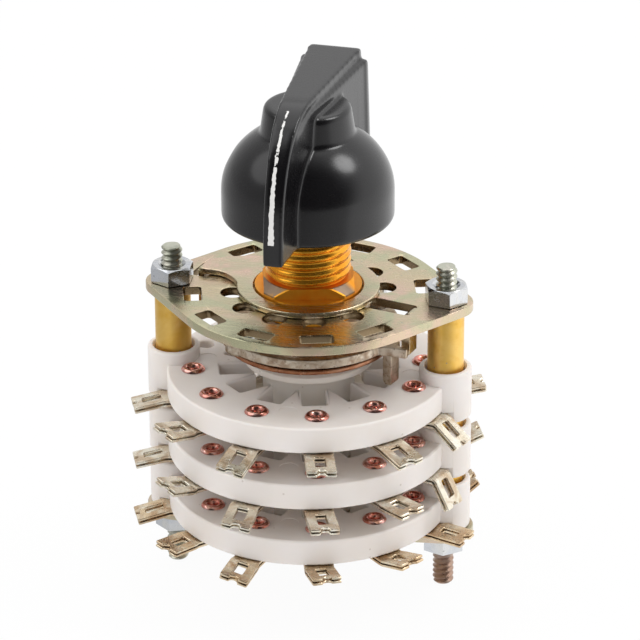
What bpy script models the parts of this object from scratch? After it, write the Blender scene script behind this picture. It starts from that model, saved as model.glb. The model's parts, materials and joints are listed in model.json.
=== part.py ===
"""A six-position rotary switch: three contact wafers, a ball index, a threaded bushing and a pointer knob.

Metres, +Z up. The origin is on the shaft's axis at the face that meets the panel, the stop washer's top.
The two tie rods stand on the X axis. Angles are in degrees from +X, anticlockwise seen from above.
"""

import math

import bmesh
import bpy
from mathutils import Matrix, Vector

MM = 0.001
FILL_SLANT = 17.3
BELT_STEPS = 44  # steps of each circle that a belt outline is drawn round

# Clearances
SEAT = 0.1 * MM  # between two faces that rest on each other
RUN = 0.08 * MM  # radial, between the shaft and its bearings
FIT = 0.1 * MM  # radial, between a hole and the piece in it

# Contact layout
WAFERS = 3
SITES = 12
SITE_STEP = 360 / SITES
FIRST_SITE = 15
POSITION_SITES = (345, 315, 285, 255, 225, 195)
COMMON_SITE = 15
STOP_SITE = 345
LIMIT_SITE = 165

# Tie rods, nuts and spacers
POST_X = 19.5 * MM
ROD_R = 1.5 * MM
ROD_LENGTH = 49.5 * MM
ROD_ABOVE_PLATE = 5.25 * MM
ROD_HOLE_R = 1.65 * MM
NUT_FLATS = 5.5 * MM
NUT_HEIGHT = 2.4 * MM
NUT_CHAMFER = 0.35 * MM
TOP_NUT_TURNS = (33, 48)  # left and right
BOTTOM_NUT_TURNS = (20, 4)
SPACER_SIDES = 14
SPACER_R = 2.55 * MM
LONG_SPACER = 9.95 * MM
SHORT_SPACER = 2.5 * MM

# Mounting plate
PLATE_R = 18.9 * MM
PLATE_END_R = 3.75 * MM
PLATE_T = 1.3 * MM
PLATE_SLOT_AT = 16.2 * MM
PLATE_SLOT_LONG = 4.6 * MM
PLATE_SLOT_WIDE = 2.5 * MM
DETENT_AT = 10.6 * MM
DETENT_R = 1.7 * MM

# Stop washer, whose tail sets the last position
WASHER_R = 10.0 * MM
WASHER_T = 0.85 * MM
WASHER_HOLE_R = 7.7 * MM
TAIL_HALF = 1.7 * MM
TAIL_PAST_SLOT = 0.3 * MM
STOP_DROP = 6.6 * MM  # from the panel face down to the stops' lower ends
TAB_WIDE = 2.4 * MM
TAB_CHAMFER = 0.3 * MM
TAB_AT = 15.5 * MM

# Bushing
BUSHING_R = 6.0 * MM
BUSHING_SIDES = 24
BUSHING_TOP = 9.6 * MM
THREAD_CHAMFER = 0.7 * MM
RELIEF_R = 5.3 * MM  # the groove where the thread runs out above the collar
RELIEF_LONG = 0.6 * MM
COLLAR_FLATS = 11.6 * MM
COLLAR_FLATS_ANGLE = 283
COLLAR_R = 7.5 * MM
COLLAR_TOP = 1.7 * MM
COLLAR_CHAMFER = 1.1 * MM
SPIGOT_R = 6.3 * MM
PEEN_R = 7.6 * MM
PEEN_T = 1.0 * MM

# Shaft
SHAFT_R = 3.0 * MM
SHAFT_SIDES = 24
SHAFT_FLATS = 4.4 * MM
SHAFT_COLLAR_R = 4.5 * MM
SHAFT_COLLAR_T = 2.25 * MM
SHAFT_TOP = 21.5 * MM
SHAFT_END = 1.5 * MM  # below the rear strap

# Index mechanism
INDEX_R = 12.8 * MM
INDEX_T = 1.4 * MM
BALL_R = 2.5 * MM
SPRING_R = 11.9 * MM
SPRING_T = 0.75 * MM
SPRING_FLAT_R = 5.0 * MM
SPRING_DISH = 0.5 * MM
SPRING_CLIP_R = 4.6 * MM
SPRING_CLIP_T = 0.4 * MM
LUG_ANGLE = 335
LUG_R = 14.3 * MM
SPIKE_R = 16.5 * MM
FINGER_ANGLE = 339.5
FINGER_WIDE = 2.2 * MM
FINGER_END = 0.8 * MM  # above the first wafer

# Wafers
WAFER_R = 20.0 * MM
WAFER_T = 3.8 * MM
WAFER_BORE_R = 7.9 * MM
WAFER_EDGE = 0.35 * MM
WAFER_SIDES = 44
NOTCH_R = 12.6 * MM
NOTCH_WIDE = 3.5 * MM
EAR_R = 3.7 * MM
EAR_RISE = 1.8 * MM
EAR_DROP = 5.7 * MM
EAR_EDGE = 0.5 * MM
EAR_POCKET = 1.5 * MM

# Rivets and terminals, whose two leaves grip the rotor's contact blade
RIVET_AT = (NOTCH_R + WAFER_R) / 2
RIVET_HEAD_R = 1.7 * MM
RIVET_HEAD_T = 0.45 * MM
RIVET_EYE_R = 0.75 * MM
RIVET_SHANK_R = 1.0 * MM
RIVET_FOOT_R = 1.4 * MM
RIVET_FOOT_T = 0.2 * MM
LEAF_T = 0.45 * MM
TERMINAL_BEND = WAFER_R + 0.4 * MM
TERMINAL_TIP = TERMINAL_BEND + 4.6 * MM
TERMINAL_WIDE = 4.1 * MM
TERMINAL_SLOT_AT = TERMINAL_BEND + 1.8 * MM
TERMINAL_SLOT_LONG = 2.4 * MM
TERMINAL_SLOT_WIDE = 1.5 * MM
TERMINAL_ROOM = 0.3 * MM  # beside a terminal, where it passes a wafer's ear
TIP_NOTCH_R = 0.65 * MM
JAW_WIDE = 2.5 * MM
JAW_GAP = 0.6 * MM
POSITION_JAW = 9.7 * MM
COMMON_JAW = 8.3 * MM
# How each terminal is bent by hand at the wafer's edge, in degrees: down, round (anticlockwise from above)
# and twisted. One row for a wafer, from the top, in the order of the sites
BENT = (
    ((38, -7, -2), (9, 1, 3), (1, 1, -2), (13, 1, -9), (-14, 9, -9), (10, 6, 2), (-7, 4, 0)),
    ((60, -6, 0), (-3, 6, 3), (4, 7, -3), (9, 11, -9), (-18, 10, -10), (10, 5, 2), (-24, 5, 0)),
    ((0, -6, 2), (-14, 7, 4), (-9, 10, 0), (3, 6, -12), (-5, 12, -5), (12, 7, -2), (-40, 6, 0)),
)

# Rotors and contact blades
HUB_R = 6.5 * MM
ROTOR_TOP_R = 7.8 * MM
ROTOR_NECK = 0.6 * MM
FLANGE_R = 9.3 * MM
FLANGE_TOP = 2.4 * MM
FLANGE_LOW = 1.5 * MM
BLADE_T = 0.4 * MM
BLADE_R = 9.0 * MM
TONGUE_R = 11.4 * MM
TONGUE_WIDE = 1.9 * MM
BLADE_KEY_FLATS = 8.0 * MM
END_WASHER_R = 7.0 * MM

# Rear strap
STRAP_T = 1.2 * MM
STRAP_WAIST_R = 5.6 * MM

# Knob
POINTER_ANGLE = 266
KNOB_GAP = 0.8 * MM  # above the bushing
KNOB_R = 12.0 * MM
KNOB_SIDES = 40
SKIRT_HEIGHT = 4.0 * MM
DOME_HEIGHT = 12.5 * MM  # where the dome meets the neck
NECK_R = 6.6 * MM
NECK_TOP_R = 6.1 * MM
NECK_HEIGHT = 16.6 * MM
NECK_EDGE = 0.8 * MM
KNOB_HEIGHT = 19.5 * MM
WING_DROP = 1.4 * MM
WING_FRONT = 0.6 * MM  # from the pointer's tip back to the wings' tips
POINTER_REACH = KNOB_R + 6.4 * MM
NOSE_LONG = 13.5 * MM
NOSE_FULLNESS = 2.4  # 2 is an ellipse, and more is squarer
TAIL_REACH = KNOB_R + 2.9 * MM
TAIL_EDGE = 1.0 * MM
TAIL_BULGE = 1.0 * MM  # how much further back its middle reaches
TAIL_LEAN = 0.6 * MM  # how much further back the tail reaches at its foot
POINTER_TIP_HALF = 1.35 * MM
WING_TIP_HALF = 1.2 * MM
RIB_TAIL_HALF = 4.0 * MM
WING_TAIL_HALF = 5.35 * MM
POINTER_FLARE = 1.35  # 1 is a straight taper, and more is hollow
KNOB_WALL = 1.9 * MM
KNOB_BOSS_R = 5.0 * MM
KNOB_HOLLOW = 6.5 * MM
HOLLOW_CHAMFER = 2.0 * MM
INSERT_R = 4.0 * MM
INSERT_HEIGHT = 11.0 * MM
SET_SCREW_R = 1.5 * MM
SET_SCREW_HEIGHT = 7.4 * MM  # of its axis above the knob's lower edge
SET_SCREW_INSET = 2.2 * MM
SCREW_SLOT_WIDE = 0.5 * MM
SCREW_SLOT_DEEP = 0.8 * MM

# The stack, from the panel face down
PLATE_TOP = -WASHER_T - SEAT
PLATE_LOW = PLATE_TOP - PLATE_T
WAFER_1_TOP = PLATE_LOW - SEAT - LONG_SPACER - SEAT + EAR_POCKET - EAR_RISE
WAFER_PITCH = EAR_DROP + SEAT + SHORT_SPACER + SEAT + EAR_RISE - EAR_POCKET
LAST_WAFER_TOP = WAFER_1_TOP - (WAFERS - 1) * WAFER_PITCH
STRAP_TOP = LAST_WAFER_TOP - EAR_DROP - SEAT
STRAP_LOW = STRAP_TOP - STRAP_T
ROD_TOP = PLATE_TOP + ROD_ABOVE_PLATE
PEEN_LOW = PLATE_LOW - SEAT - PEEN_T
INDEX_TOP = PEEN_LOW - SEAT - SHAFT_COLLAR_T - SEAT
INDEX_LOW = INDEX_TOP - INDEX_T
SPRING_TOP = INDEX_LOW - SEAT
SPRING_LOW = SPRING_TOP - SPRING_T
STOPS_LOW = -STOP_DROP - WASHER_T

# Levels on a wafer, from its top face
LEAF_TOP = -WAFER_T - SEAT
BLADE_MID = LEAF_TOP - LEAF_T
LEAF_LOW = BLADE_MID - LEAF_T
ROTOR_LOW = BLADE_MID + BLADE_T / 2 + SEAT
BOSS_LOW = BLADE_MID - BLADE_T / 2
ROTOR_RISE = WAFER_PITCH + BOSS_LOW - SEAT

KNOB_LOW = BUSHING_TOP + KNOB_GAP


def material(name, color, roughness, metallic=0.0):
    """A Principled material with the colour given as sRGB-like linear values."""
    made = bpy.data.materials.new(name)
    made.use_nodes = True
    shader = made.node_tree.nodes["Principled BSDF"]
    shader.inputs["Base Color"].default_value = (*color, 1)
    shader.inputs["Roughness"].default_value = roughness
    shader.inputs["Metallic"].default_value = metallic
    made.diffuse_color = (*color, 1)
    return made


def polar(radius, degrees):
    angle = math.radians(degrees)
    return Vector((radius * math.cos(angle), radius * math.sin(angle)))


def arc(centre, radius, start, end, steps):
    """Points on an arc, both ends included."""
    turn = (end - start) / steps
    return [Vector(centre) + polar(radius, start + turn * i) for i in range(steps + 1)]


def sides(radius):
    """How many flat sides stand for a circle: an even number that grows with its size."""
    return 2 * round(3 + 0.8 * radius / MM)


def circle(centre, radius, steps=None):
    return arc(centre, radius, 0, 360, steps or sides(radius))[:-1]


def hole(centre, radius):
    """A polygon drawn round a circle, so that a round piece of that radius passes through it."""
    steps = sides(radius)
    return circle(centre, radius / math.cos(math.pi / steps), steps)


def turned_round(points, degrees):
    """The same 2-D points, turned about the origin."""
    turn = Matrix.Rotation(math.radians(degrees), 2)
    return [turn @ Vector(point) for point in points]


def cornered_slot(at, long, wide, degrees, corner=0.4 * MM):
    """A rectangle with blunted corners, its long side tangential, at a radius and an angle."""
    points = []
    for side_x, side_y, start in ((1, 1, 0), (-1, 1, 90), (-1, -1, 180), (1, -1, 270)):
        centre = (at + side_x * (wide / 2 - corner), side_y * (long / 2 - corner))
        points += arc(centre, corner, start, start + 90, 1)
    return turned_round(points, degrees)


def flatted(radius, flats, steps=6):
    """A circle with two flats across Y."""
    cut = math.degrees(math.asin(flats / 2 / radius))
    return arc((0, 0), radius, -cut, cut, steps) + arc((0, 0), radius, 180 - cut, 180 + cut, steps)


def polygon(flats, sides, start=0.0):
    return [polar(flats / 2 / math.cos(math.pi / sides), start + 360 / sides * i) for i in range(sides)]


def hull_of_circles(circles):
    """The outline of a belt drawn tight round circles, each given as centre X, centre Y and radius."""
    points = [point for x, y, radius in circles for point in circle((x, y), radius, BELT_STEPS)]
    flat = bmesh.new()
    for point in points:
        flat.verts.new((point.x, point.y, 0))
    bmesh.ops.convex_hull(flat, input=flat.verts)
    rim = [edge for edge in flat.edges if edge.is_boundary or edge.calc_face_angle(0) > 1]
    corners = {tuple(vert.co.xy) for edge in rim for vert in edge.verts}
    flat.free()
    return [Vector(xy) for xy in sorted(corners, key=lambda xy: math.atan2(xy[1], xy[0]))]


def finish(mesh, shader, sharp=35):
    mesh.materials.clear()
    mesh.materials.append(shader)
    mesh.shade_smooth()
    mesh.set_sharp_from_angle(angle=math.radians(sharp))
    return mesh


def mesh_from(solid, name):
    """Closes a bmesh's seams, turns its faces outwards and stores it."""
    bmesh.ops.remove_doubles(solid, verts=solid.verts, dist=1e-7)
    bmesh.ops.recalc_face_normals(solid, faces=solid.faces)
    mesh = bpy.data.meshes.new(name)
    solid.to_mesh(mesh)
    solid.free()
    return mesh


def sheet(name, outline, holes, low, high):
    """A flat outline with holes in it, as a solid between two heights.

    It is filled at a slant, because the fill can leave gaps between points that are level with each other.
    """
    curve = bpy.data.curves.new(name, "CURVE")
    curve.dimensions = "2D"
    curve.fill_mode = "BOTH"
    curve.extrude = (high - low) / 2
    for ring in [outline, *holes]:
        spline = curve.splines.new("POLY")
        spline.points.add(len(ring) - 1)
        for point, spot in zip(spline.points, turned_round(ring, FILL_SLANT)):
            point.co = (spot.x, spot.y, 0, 1)
        spline.use_cyclic_u = True
    carrier = bpy.data.objects.new(name, curve)
    solid = bmesh.new()
    solid.from_mesh(carrier.to_mesh())
    bpy.data.objects.remove(carrier)
    bpy.data.curves.remove(curve)
    back = Matrix.Rotation(math.radians(-FILL_SLANT), 4, "Z")
    solid.transform(Matrix.Translation((0, 0, (low + high) / 2)) @ back)
    return mesh_from(solid, name)


def turned(name, profile, closed=True, steps=None):
    """A profile of (radius, height) points spun about Z. An open profile starts and ends on the axis."""
    solid = bmesh.new()
    steps = steps or sides(max(radius for radius, height in profile))
    points = [solid.verts.new((radius, 0, height)) for radius, height in profile]
    pairs = list(zip(points, points[1:] + points[:1]))
    edges = [solid.edges.new(pair) for pair in (pairs if closed else pairs[:-1])]
    upright = {"axis": (0, 0, 1), "cent": (0, 0, 0)}
    bmesh.ops.spin(solid, geom=points + edges, angle=math.tau, steps=steps, use_merge=True, **upright)
    return mesh_from(solid, name)


def across(name, profile, half):
    """A profile of (X, Z) points extruded along Y to both sides."""
    mesh = sheet(name, profile, [], -half, half)
    mesh.transform(Matrix.Rotation(math.pi / 2, 4, "X"))
    return mesh


def block(name, low, high):
    outline = [(low[0], low[1]), (high[0], low[1]), (high[0], high[1]), (low[0], high[1])]
    return sheet(name, outline, [], low[2], high[2])


def combined(name, base, *steps):
    """The mesh that a chain of Booleans leaves. Each step is an operation and a mesh."""
    carrier = bpy.data.objects.new(name, base)
    bpy.context.scene.collection.objects.link(carrier)
    tools = []
    for operation, mesh in steps:
        tool = bpy.data.objects.new(name + "_tool", mesh)
        bpy.context.scene.collection.objects.link(tool)
        tools.append(tool)
        change = carrier.modifiers.new(operation, "BOOLEAN")
        change.operation = operation
        change.solver = "EXACT"
        change.object = tool
    bpy.context.view_layer.update()
    evaluated = carrier.evaluated_get(bpy.context.evaluated_depsgraph_get())
    mesh = bpy.data.meshes.new_from_object(evaluated)
    for made in [carrier, *tools]:
        bpy.data.objects.remove(made)
    mesh.name = name
    return mesh


def place(name, mesh, shader, location=(0, 0, 0), degrees=0.0, parent=None):
    """Puts a mesh in the scene as one named piece."""
    piece = bpy.data.objects.new(name, finish(mesh, shader))
    piece.location = location
    piece.rotation_euler = (0, 0, math.radians(degrees))
    piece.parent = parent
    bpy.context.scene.collection.objects.link(piece)
    return piece


def site_angles():
    return [FIRST_SITE + SITE_STEP * i for i in range(SITES)]


def plate_mesh():
    """The mounting plate: detent holes, slots and a lanced tab bent down as the fixed stop."""
    outline = hull_of_circles([(0, 0, PLATE_R), (POST_X, 0, PLATE_END_R), (-POST_X, 0, PLATE_END_R)])
    holes = [hole((0, 0), SPIGOT_R + FIT)]
    holes += [hole((side * POST_X, 0), ROD_HOLE_R) for side in (-1, 1)]
    tab_inner = TAB_AT - PLATE_T / 2
    for angle in site_angles():
        if angle == STOP_SITE:
            start = DETENT_AT - DETENT_R
            end = tab_inner + PLATE_T
            holes.append(cornered_slot((start + end) / 2, DETENT_R * 2, end - start, angle, 0.6 * MM))
        else:
            holes.append(circle(polar(DETENT_AT, angle), DETENT_R))
            holes.append(cornered_slot(PLATE_SLOT_AT, PLATE_SLOT_LONG, PLATE_SLOT_WIDE, angle))
    plate = sheet("mounting_plate", outline, holes, PLATE_LOW, PLATE_TOP)
    tab_outer = tab_inner + PLATE_T
    inset = 0.05 * MM
    root = tab_outer + 0.4 * MM
    profile = arc((tab_outer, PLATE_TOP - inset - PLATE_T), PLATE_T, 90, 180, 3)
    profile += [(tab_inner, STOPS_LOW), (tab_outer - TAB_CHAMFER, STOPS_LOW)]
    profile += [(tab_outer, STOPS_LOW + TAB_CHAMFER), (tab_outer, PLATE_LOW + inset)]
    profile += [(root, PLATE_LOW + inset), (root, PLATE_TOP - inset)]
    tab = across("stop_tab", profile, TAB_WIDE / 2)
    tab.transform(Matrix.Rotation(math.radians(STOP_SITE), 4, "Z"))
    return combined("mounting_plate", plate, ("UNION", tab))


def stop_washer_mesh():
    """A ring round the bushing's collar, whose comma-shaped tail drops through a slot of the plate."""
    tail_end = PLATE_SLOT_AT + TAIL_PAST_SLOT
    width = tail_end - WASHER_R
    ring = arc((0, 0), WASHER_R, LIMIT_SITE + 22, LIMIT_SITE + 313, 40)
    back = [(0.3, -29), (0.66, -16), (0.91, -8)]
    back = [polar(WASHER_R + share * width, LIMIT_SITE + turn) for share, turn in back]
    end = [polar(tail_end, LIMIT_SITE - 5), polar(tail_end, LIMIT_SITE + 5.5)]
    front = [(0.8, 6.5), (0.52, 6), (0.25, 10), (0.08, 16)]
    front = [polar(WASHER_R + share * width, LIMIT_SITE + turn) for share, turn in front]
    room = WASHER_HOLE_R - COLLAR_R
    keyed = turned_round(flatted(WASHER_HOLE_R, COLLAR_FLATS + 2 * room, 10), COLLAR_FLATS_ANGLE - 90)
    washer = sheet("stop_washer", ring + back + end + front, [keyed], -WASHER_T, 0)
    low = (tail_end - WASHER_T, -TAIL_HALF, STOPS_LOW)
    tail = block("stop_tail", low, (tail_end, TAIL_HALF, -WASHER_T / 2))
    tail.transform(Matrix.Rotation(math.radians(LIMIT_SITE), 4, "Z"))
    return combined("stop_washer", washer, ("UNION", tail))


def bushing_mesh():
    """A threaded tube over a chamfered collar with two flats, and a spigot peened below the plate."""
    bore = SHAFT_R + RUN
    collar_low = PLATE_TOP + SEAT
    profile = [
        (bore, BUSHING_TOP),
        (bore, PEEN_LOW),
        (PEEN_R - 0.4 * MM, PEEN_LOW),
        (PEEN_R, PEEN_LOW + 0.4 * MM),
        (PEEN_R, PLATE_LOW - SEAT),
        (SPIGOT_R, PLATE_LOW - SEAT),
        (SPIGOT_R, collar_low),
        (COLLAR_R, collar_low),
        (COLLAR_R, COLLAR_TOP - COLLAR_CHAMFER),
        (COLLAR_R - COLLAR_CHAMFER, COLLAR_TOP),
        (RELIEF_R, COLLAR_TOP),
        (RELIEF_R, COLLAR_TOP + RELIEF_LONG / 2),
        (BUSHING_R, COLLAR_TOP + RELIEF_LONG),
        (BUSHING_R, BUSHING_TOP - THREAD_CHAMFER),
        (BUSHING_R - THREAD_CHAMFER, BUSHING_TOP),
    ]
    body = turned("threaded_bushing", profile, steps=BUSHING_SIDES)
    keyed = turned_round(flatted(COLLAR_R + SEAT, COLLAR_FLATS, 16), COLLAR_FLATS_ANGLE - 90)
    outside = circle((0, 0), COLLAR_R + MM)
    flats = sheet("collar_flats", outside, [keyed], collar_low - SEAT / 2, COLLAR_TOP + SEAT)
    return combined("threaded_bushing", body, ("DIFFERENCE", flats))


def shaft_mesh():
    """A round spindle with a collar under the bushing, and flats from there down that turn the rotors."""
    collar_top = PEEN_LOW - SEAT
    collar_low = INDEX_TOP + SEAT
    end = STRAP_LOW - SHAFT_END
    chamfer = 0.4 * MM
    profile = [
        (0, SHAFT_TOP),
        (SHAFT_R - chamfer, SHAFT_TOP),
        (SHAFT_R, SHAFT_TOP - chamfer),
        (SHAFT_R, collar_top),
        (SHAFT_COLLAR_R, collar_top),
        (SHAFT_COLLAR_R, collar_low),
        (SHAFT_R, collar_low),
        (SHAFT_R, end + chamfer),
        (SHAFT_R - chamfer, end),
        (0, end),
    ]
    spindle = turned("shaft", profile, closed=False, steps=SHAFT_SIDES)
    steps = []
    for side in (-1, 1):
        inner, outer = sorted((side * SHAFT_FLATS / 2, side * SHAFT_R * 2))
        flat = block("flat", (-SHAFT_R * 2, inner, end - MM), (SHAFT_R * 2, outer, collar_low))
        steps.append(("DIFFERENCE", flat))
    return combined("shaft", spindle, *steps)


def drive_hole():
    return flatted(SHAFT_R + FIT, SHAFT_FLATS + 2 * FIT)


def index_disc_mesh():
    """The disc that carries the balls, with its stop lug and the finger bent down from it."""
    lug = [polar(LUG_R, LUG_ANGLE + 10), polar(LUG_R, LUG_ANGLE + 4), polar(SPIKE_R, LUG_ANGLE + 3)]
    lug += [polar(SPIKE_R, LUG_ANGLE - 1), polar(LUG_R, LUG_ANGLE - 6)]
    rim = arc((0, 0), INDEX_R, LUG_ANGLE + 14, LUG_ANGLE + 352, 44)
    balls = [hole(polar(DETENT_AT, angle), BALL_R + FIT) for angle in ball_angles()]
    disc = sheet("index_disc", rim + lug[::-1], [drive_hole(), *balls], INDEX_LOW, INDEX_TOP)
    finger_low = WAFER_1_TOP + FINGER_END
    outer = LUG_R - 0.2 * MM
    profile = [
        (outer - INDEX_T, INDEX_TOP - 0.1 * MM),
        (outer - 0.8 * MM, INDEX_TOP - 0.1 * MM),
        (outer, INDEX_TOP - 0.9 * MM),
        (outer, finger_low + 0.6 * MM),
        (outer - INDEX_T / 2, finger_low),
        (outer - INDEX_T, finger_low + 0.6 * MM),
    ]
    finger = across("stop_finger", profile, FINGER_WIDE / 2)
    finger.transform(Matrix.Rotation(math.radians(FINGER_ANGLE), 4, "Z"))
    return combined("index_disc", disc, ("UNION", finger))


def ball_angles():
    """Two balls, on opposite detent holes, clear of the stop lug."""
    return [POINTER_ANGLE // 30 * 30 + FIRST_SITE - 30, POINTER_ANGLE // 30 * 30 + FIRST_SITE + 150]


def spring_drop(radius):
    """How far the dished spring has come down at a radius."""
    return SPRING_DISH * max(0.0, radius - SPRING_FLAT_R) / (SPRING_R - SPRING_FLAT_R)


def index_spring_mesh():
    """A dished bronze disc that presses the balls up into the plate's holes."""
    bore = SHAFT_R + FIT
    profile = [
        (bore, SPRING_TOP),
        (bore, SPRING_LOW),
        (SPRING_FLAT_R, SPRING_LOW),
        (SPRING_R, SPRING_LOW - SPRING_DISH),
        (SPRING_R, SPRING_TOP - SPRING_DISH),
        (SPRING_FLAT_R, SPRING_TOP),
    ]
    return turned("index_spring", profile, steps=28)


def ball_mesh():
    solid = bmesh.new()
    bmesh.ops.create_uvsphere(solid, u_segments=12, v_segments=8, radius=BALL_R)
    return mesh_from(solid, "detent_ball")


def spring_clip_mesh():
    return sheet("spring_clip", circle((0, 0), SPRING_CLIP_R), [drive_hole()], 0, SPRING_CLIP_T)


def wafer_inside():
    """The outline of a wafer's bore, with a notch at each contact site and a tooth between each two."""
    half = NOTCH_WIDE / 2
    root = math.degrees(math.asin(half / WAFER_BORE_R))
    points = []
    for angle in site_angles():
        start = polar(WAFER_BORE_R, angle - root)
        corners = turned_round([(NOTCH_R, -half), (NOTCH_R, half)], angle)
        points += [start, *corners, polar(WAFER_BORE_R, angle + root)]
    return points


def wafer_mesh():
    """A moulded ring with notches round its bore and two ears that the tie rods hold. Its top is Z = 0."""
    disc = [(0, 0), (WAFER_R - WAFER_EDGE, 0), (WAFER_R, -WAFER_EDGE), (WAFER_R, -WAFER_T), (0, -WAFER_T)]
    ring = turned("wafer", disc, closed=False, steps=WAFER_SIDES)
    rivet_holes = [hole(polar(RIVET_AT, angle), RIVET_SHANK_R + FIT) for angle in site_angles()]
    openings = sheet("wafer_openings", wafer_inside(), rivet_holes, -WAFER_T - MM, MM)
    ring = combined("wafer", ring, ("DIFFERENCE", openings))
    ear_profile = [(0, EAR_RISE), (EAR_R, EAR_RISE), (EAR_R, EAR_EDGE - EAR_DROP)]
    ear_profile += [(EAR_R - EAR_EDGE, -EAR_DROP), (0, -EAR_DROP)]
    pocket_floor = EAR_RISE - EAR_POCKET
    pocket_r = SPACER_R + 2 * FIT
    rod_hole_profile = [(0, EAR_RISE + MM), (pocket_r, EAR_RISE + MM), (pocket_r, pocket_floor)]
    rod_hole_profile += [(ROD_HOLE_R, pocket_floor), (ROD_HOLE_R, -EAR_DROP - MM), (0, -EAR_DROP - MM)]
    unions = []
    cuts = []
    for side in (-1, 1):
        ear = turned("ear", ear_profile, closed=False)
        half_side = Matrix.Rotation(math.pi / sides(EAR_R), 4, "Z")
        ear.transform(Matrix.Translation((side * POST_X, 0, 0)) @ half_side)
        unions.append(("UNION", ear))
        rod_hole = turned("rod_hole", rod_hole_profile, closed=False)
        rod_hole.transform(Matrix.Translation((side * POST_X, 0, 0)))
        cuts.append(("DIFFERENCE", rod_hole))
    half = TERMINAL_WIDE / 2 + TERMINAL_ROOM
    for angle in (FIRST_SITE, 180 - FIRST_SITE, 180 + FIRST_SITE, -FIRST_SITE):
        low = (NOTCH_R, -half, -EAR_DROP - MM)
        channel = block("terminal_channel", low, (WAFER_R + 2 * EAR_R, half, -WAFER_T - SEAT / 2))
        channel.transform(Matrix.Rotation(math.radians(angle), 4, "Z"))
        cuts.append(("DIFFERENCE", channel))
    return combined("wafer", ring, *unions, *cuts)


def terminal_mesh(jaw):
    """Two leaves: a solder lug outside the wafer and a gripping jaw inside it, held by an eyelet."""
    half = TERMINAL_WIDE / 2
    shoulder = NOTCH_R + 1.0 * MM
    plan = [(jaw, -JAW_WIDE / 2), (shoulder, -JAW_WIDE / 2), (shoulder + MM, -half), (TERMINAL_TIP, -half)]
    plan += arc((TERMINAL_TIP, 0), TIP_NOTCH_R, 270, 90, 3)
    plan += [(TERMINAL_TIP, half), (shoulder + MM, half), (shoulder, JAW_WIDE / 2), (jaw, JAW_WIDE / 2)]
    slot_x = (TERMINAL_SLOT_AT - TERMINAL_SLOT_LONG / 2, TERMINAL_SLOT_AT + TERMINAL_SLOT_LONG / 2)
    slot_y = TERMINAL_SLOT_WIDE / 2
    slot = [(slot_x[0], -slot_y), (slot_x[1], -slot_y), (slot_x[1], slot_y), (slot_x[0], slot_y)]
    blank = sheet("terminal", plan, [slot], LEAF_LOW - MM, LEAF_TOP + MM)
    open_at = NOTCH_R - 0.8 * MM
    meet_at = NOTCH_R + 0.3 * MM
    gap = JAW_GAP / 2
    side = [(TERMINAL_TIP + MM, LEAF_TOP), (meet_at, LEAF_TOP), (open_at, BLADE_MID + gap + LEAF_T)]
    side += [(jaw - MM, BLADE_MID + gap + LEAF_T), (jaw - MM, BLADE_MID + gap), (open_at, BLADE_MID + gap)]
    side += [(meet_at, BLADE_MID), (open_at, BLADE_MID - gap), (jaw - MM, BLADE_MID - gap)]
    side += [(jaw - MM, BLADE_MID - gap - LEAF_T), (open_at, BLADE_MID - gap - LEAF_T)]
    side += [(meet_at, LEAF_LOW), (TERMINAL_TIP + MM, LEAF_LOW)]
    leaves = combined("terminal", blank, ("INTERSECT", across("terminal_side", side, TERMINAL_WIDE)))
    eyelet = [
        (0, RIVET_HEAD_T / 3),
        (RIVET_EYE_R, RIVET_HEAD_T),
        (RIVET_HEAD_R, SEAT),
        (RIVET_SHANK_R, SEAT),
        (RIVET_SHANK_R, BLADE_MID),
        (RIVET_FOOT_R, LEAF_LOW - RIVET_FOOT_T),
        (0, LEAF_LOW - RIVET_FOOT_T),
    ]
    rivet = turned("eyelet", eyelet, closed=False)
    rivet.transform(Matrix.Translation((RIVET_AT, 0, 0)))
    return combined("terminal", leaves, ("UNION", rivet))


def bent(mesh, down, round_by, twist, name):
    """A copy of a terminal whose outer end is bent at the wafer's edge."""
    solid = bmesh.new()
    solid.from_mesh(mesh)
    line = Vector((TERMINAL_BEND, 0, BLADE_MID))
    geometry = solid.verts[:] + solid.edges[:] + solid.faces[:]
    bmesh.ops.bisect_plane(solid, geom=geometry, plane_co=line, plane_no=(1, 0, 0), dist=1e-7)
    outer = [vert for vert in solid.verts if vert.co.x > TERMINAL_BEND + 1e-6]
    turn = Matrix.Rotation(math.radians(round_by), 3, "Z") @ Matrix.Rotation(math.radians(down), 3, "Y")
    turn = turn @ Matrix.Rotation(math.radians(twist), 3, "X")
    bmesh.ops.rotate(solid, verts=outer, cent=line, matrix=turn)
    return mesh_from(solid, name)


def rotor_mesh():
    """A flanged hub turned by the shaft's flats, with a six-sided boss that keys the contact blade."""
    profile = [
        (0, ROTOR_RISE),
        (ROTOR_TOP_R, ROTOR_RISE),
        (ROTOR_TOP_R, ROTOR_RISE - ROTOR_NECK),
        (FLANGE_R, FLANGE_TOP),
        (FLANGE_R, FLANGE_LOW),
        (HUB_R, FLANGE_LOW - 0.5 * MM),
        (HUB_R, ROTOR_LOW),
        (0, ROTOR_LOW),
    ]
    hub = turned("rotor", profile, closed=False)
    boss = sheet("boss", polygon(BLADE_KEY_FLATS, 6), [], BOSS_LOW, ROTOR_LOW + MM)
    bore = sheet("drive_hole", drive_hole(), [], BOSS_LOW - MM, ROTOR_RISE + MM)
    return combined("rotor", hub, ("UNION", boss), ("DIFFERENCE", bore))


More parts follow.
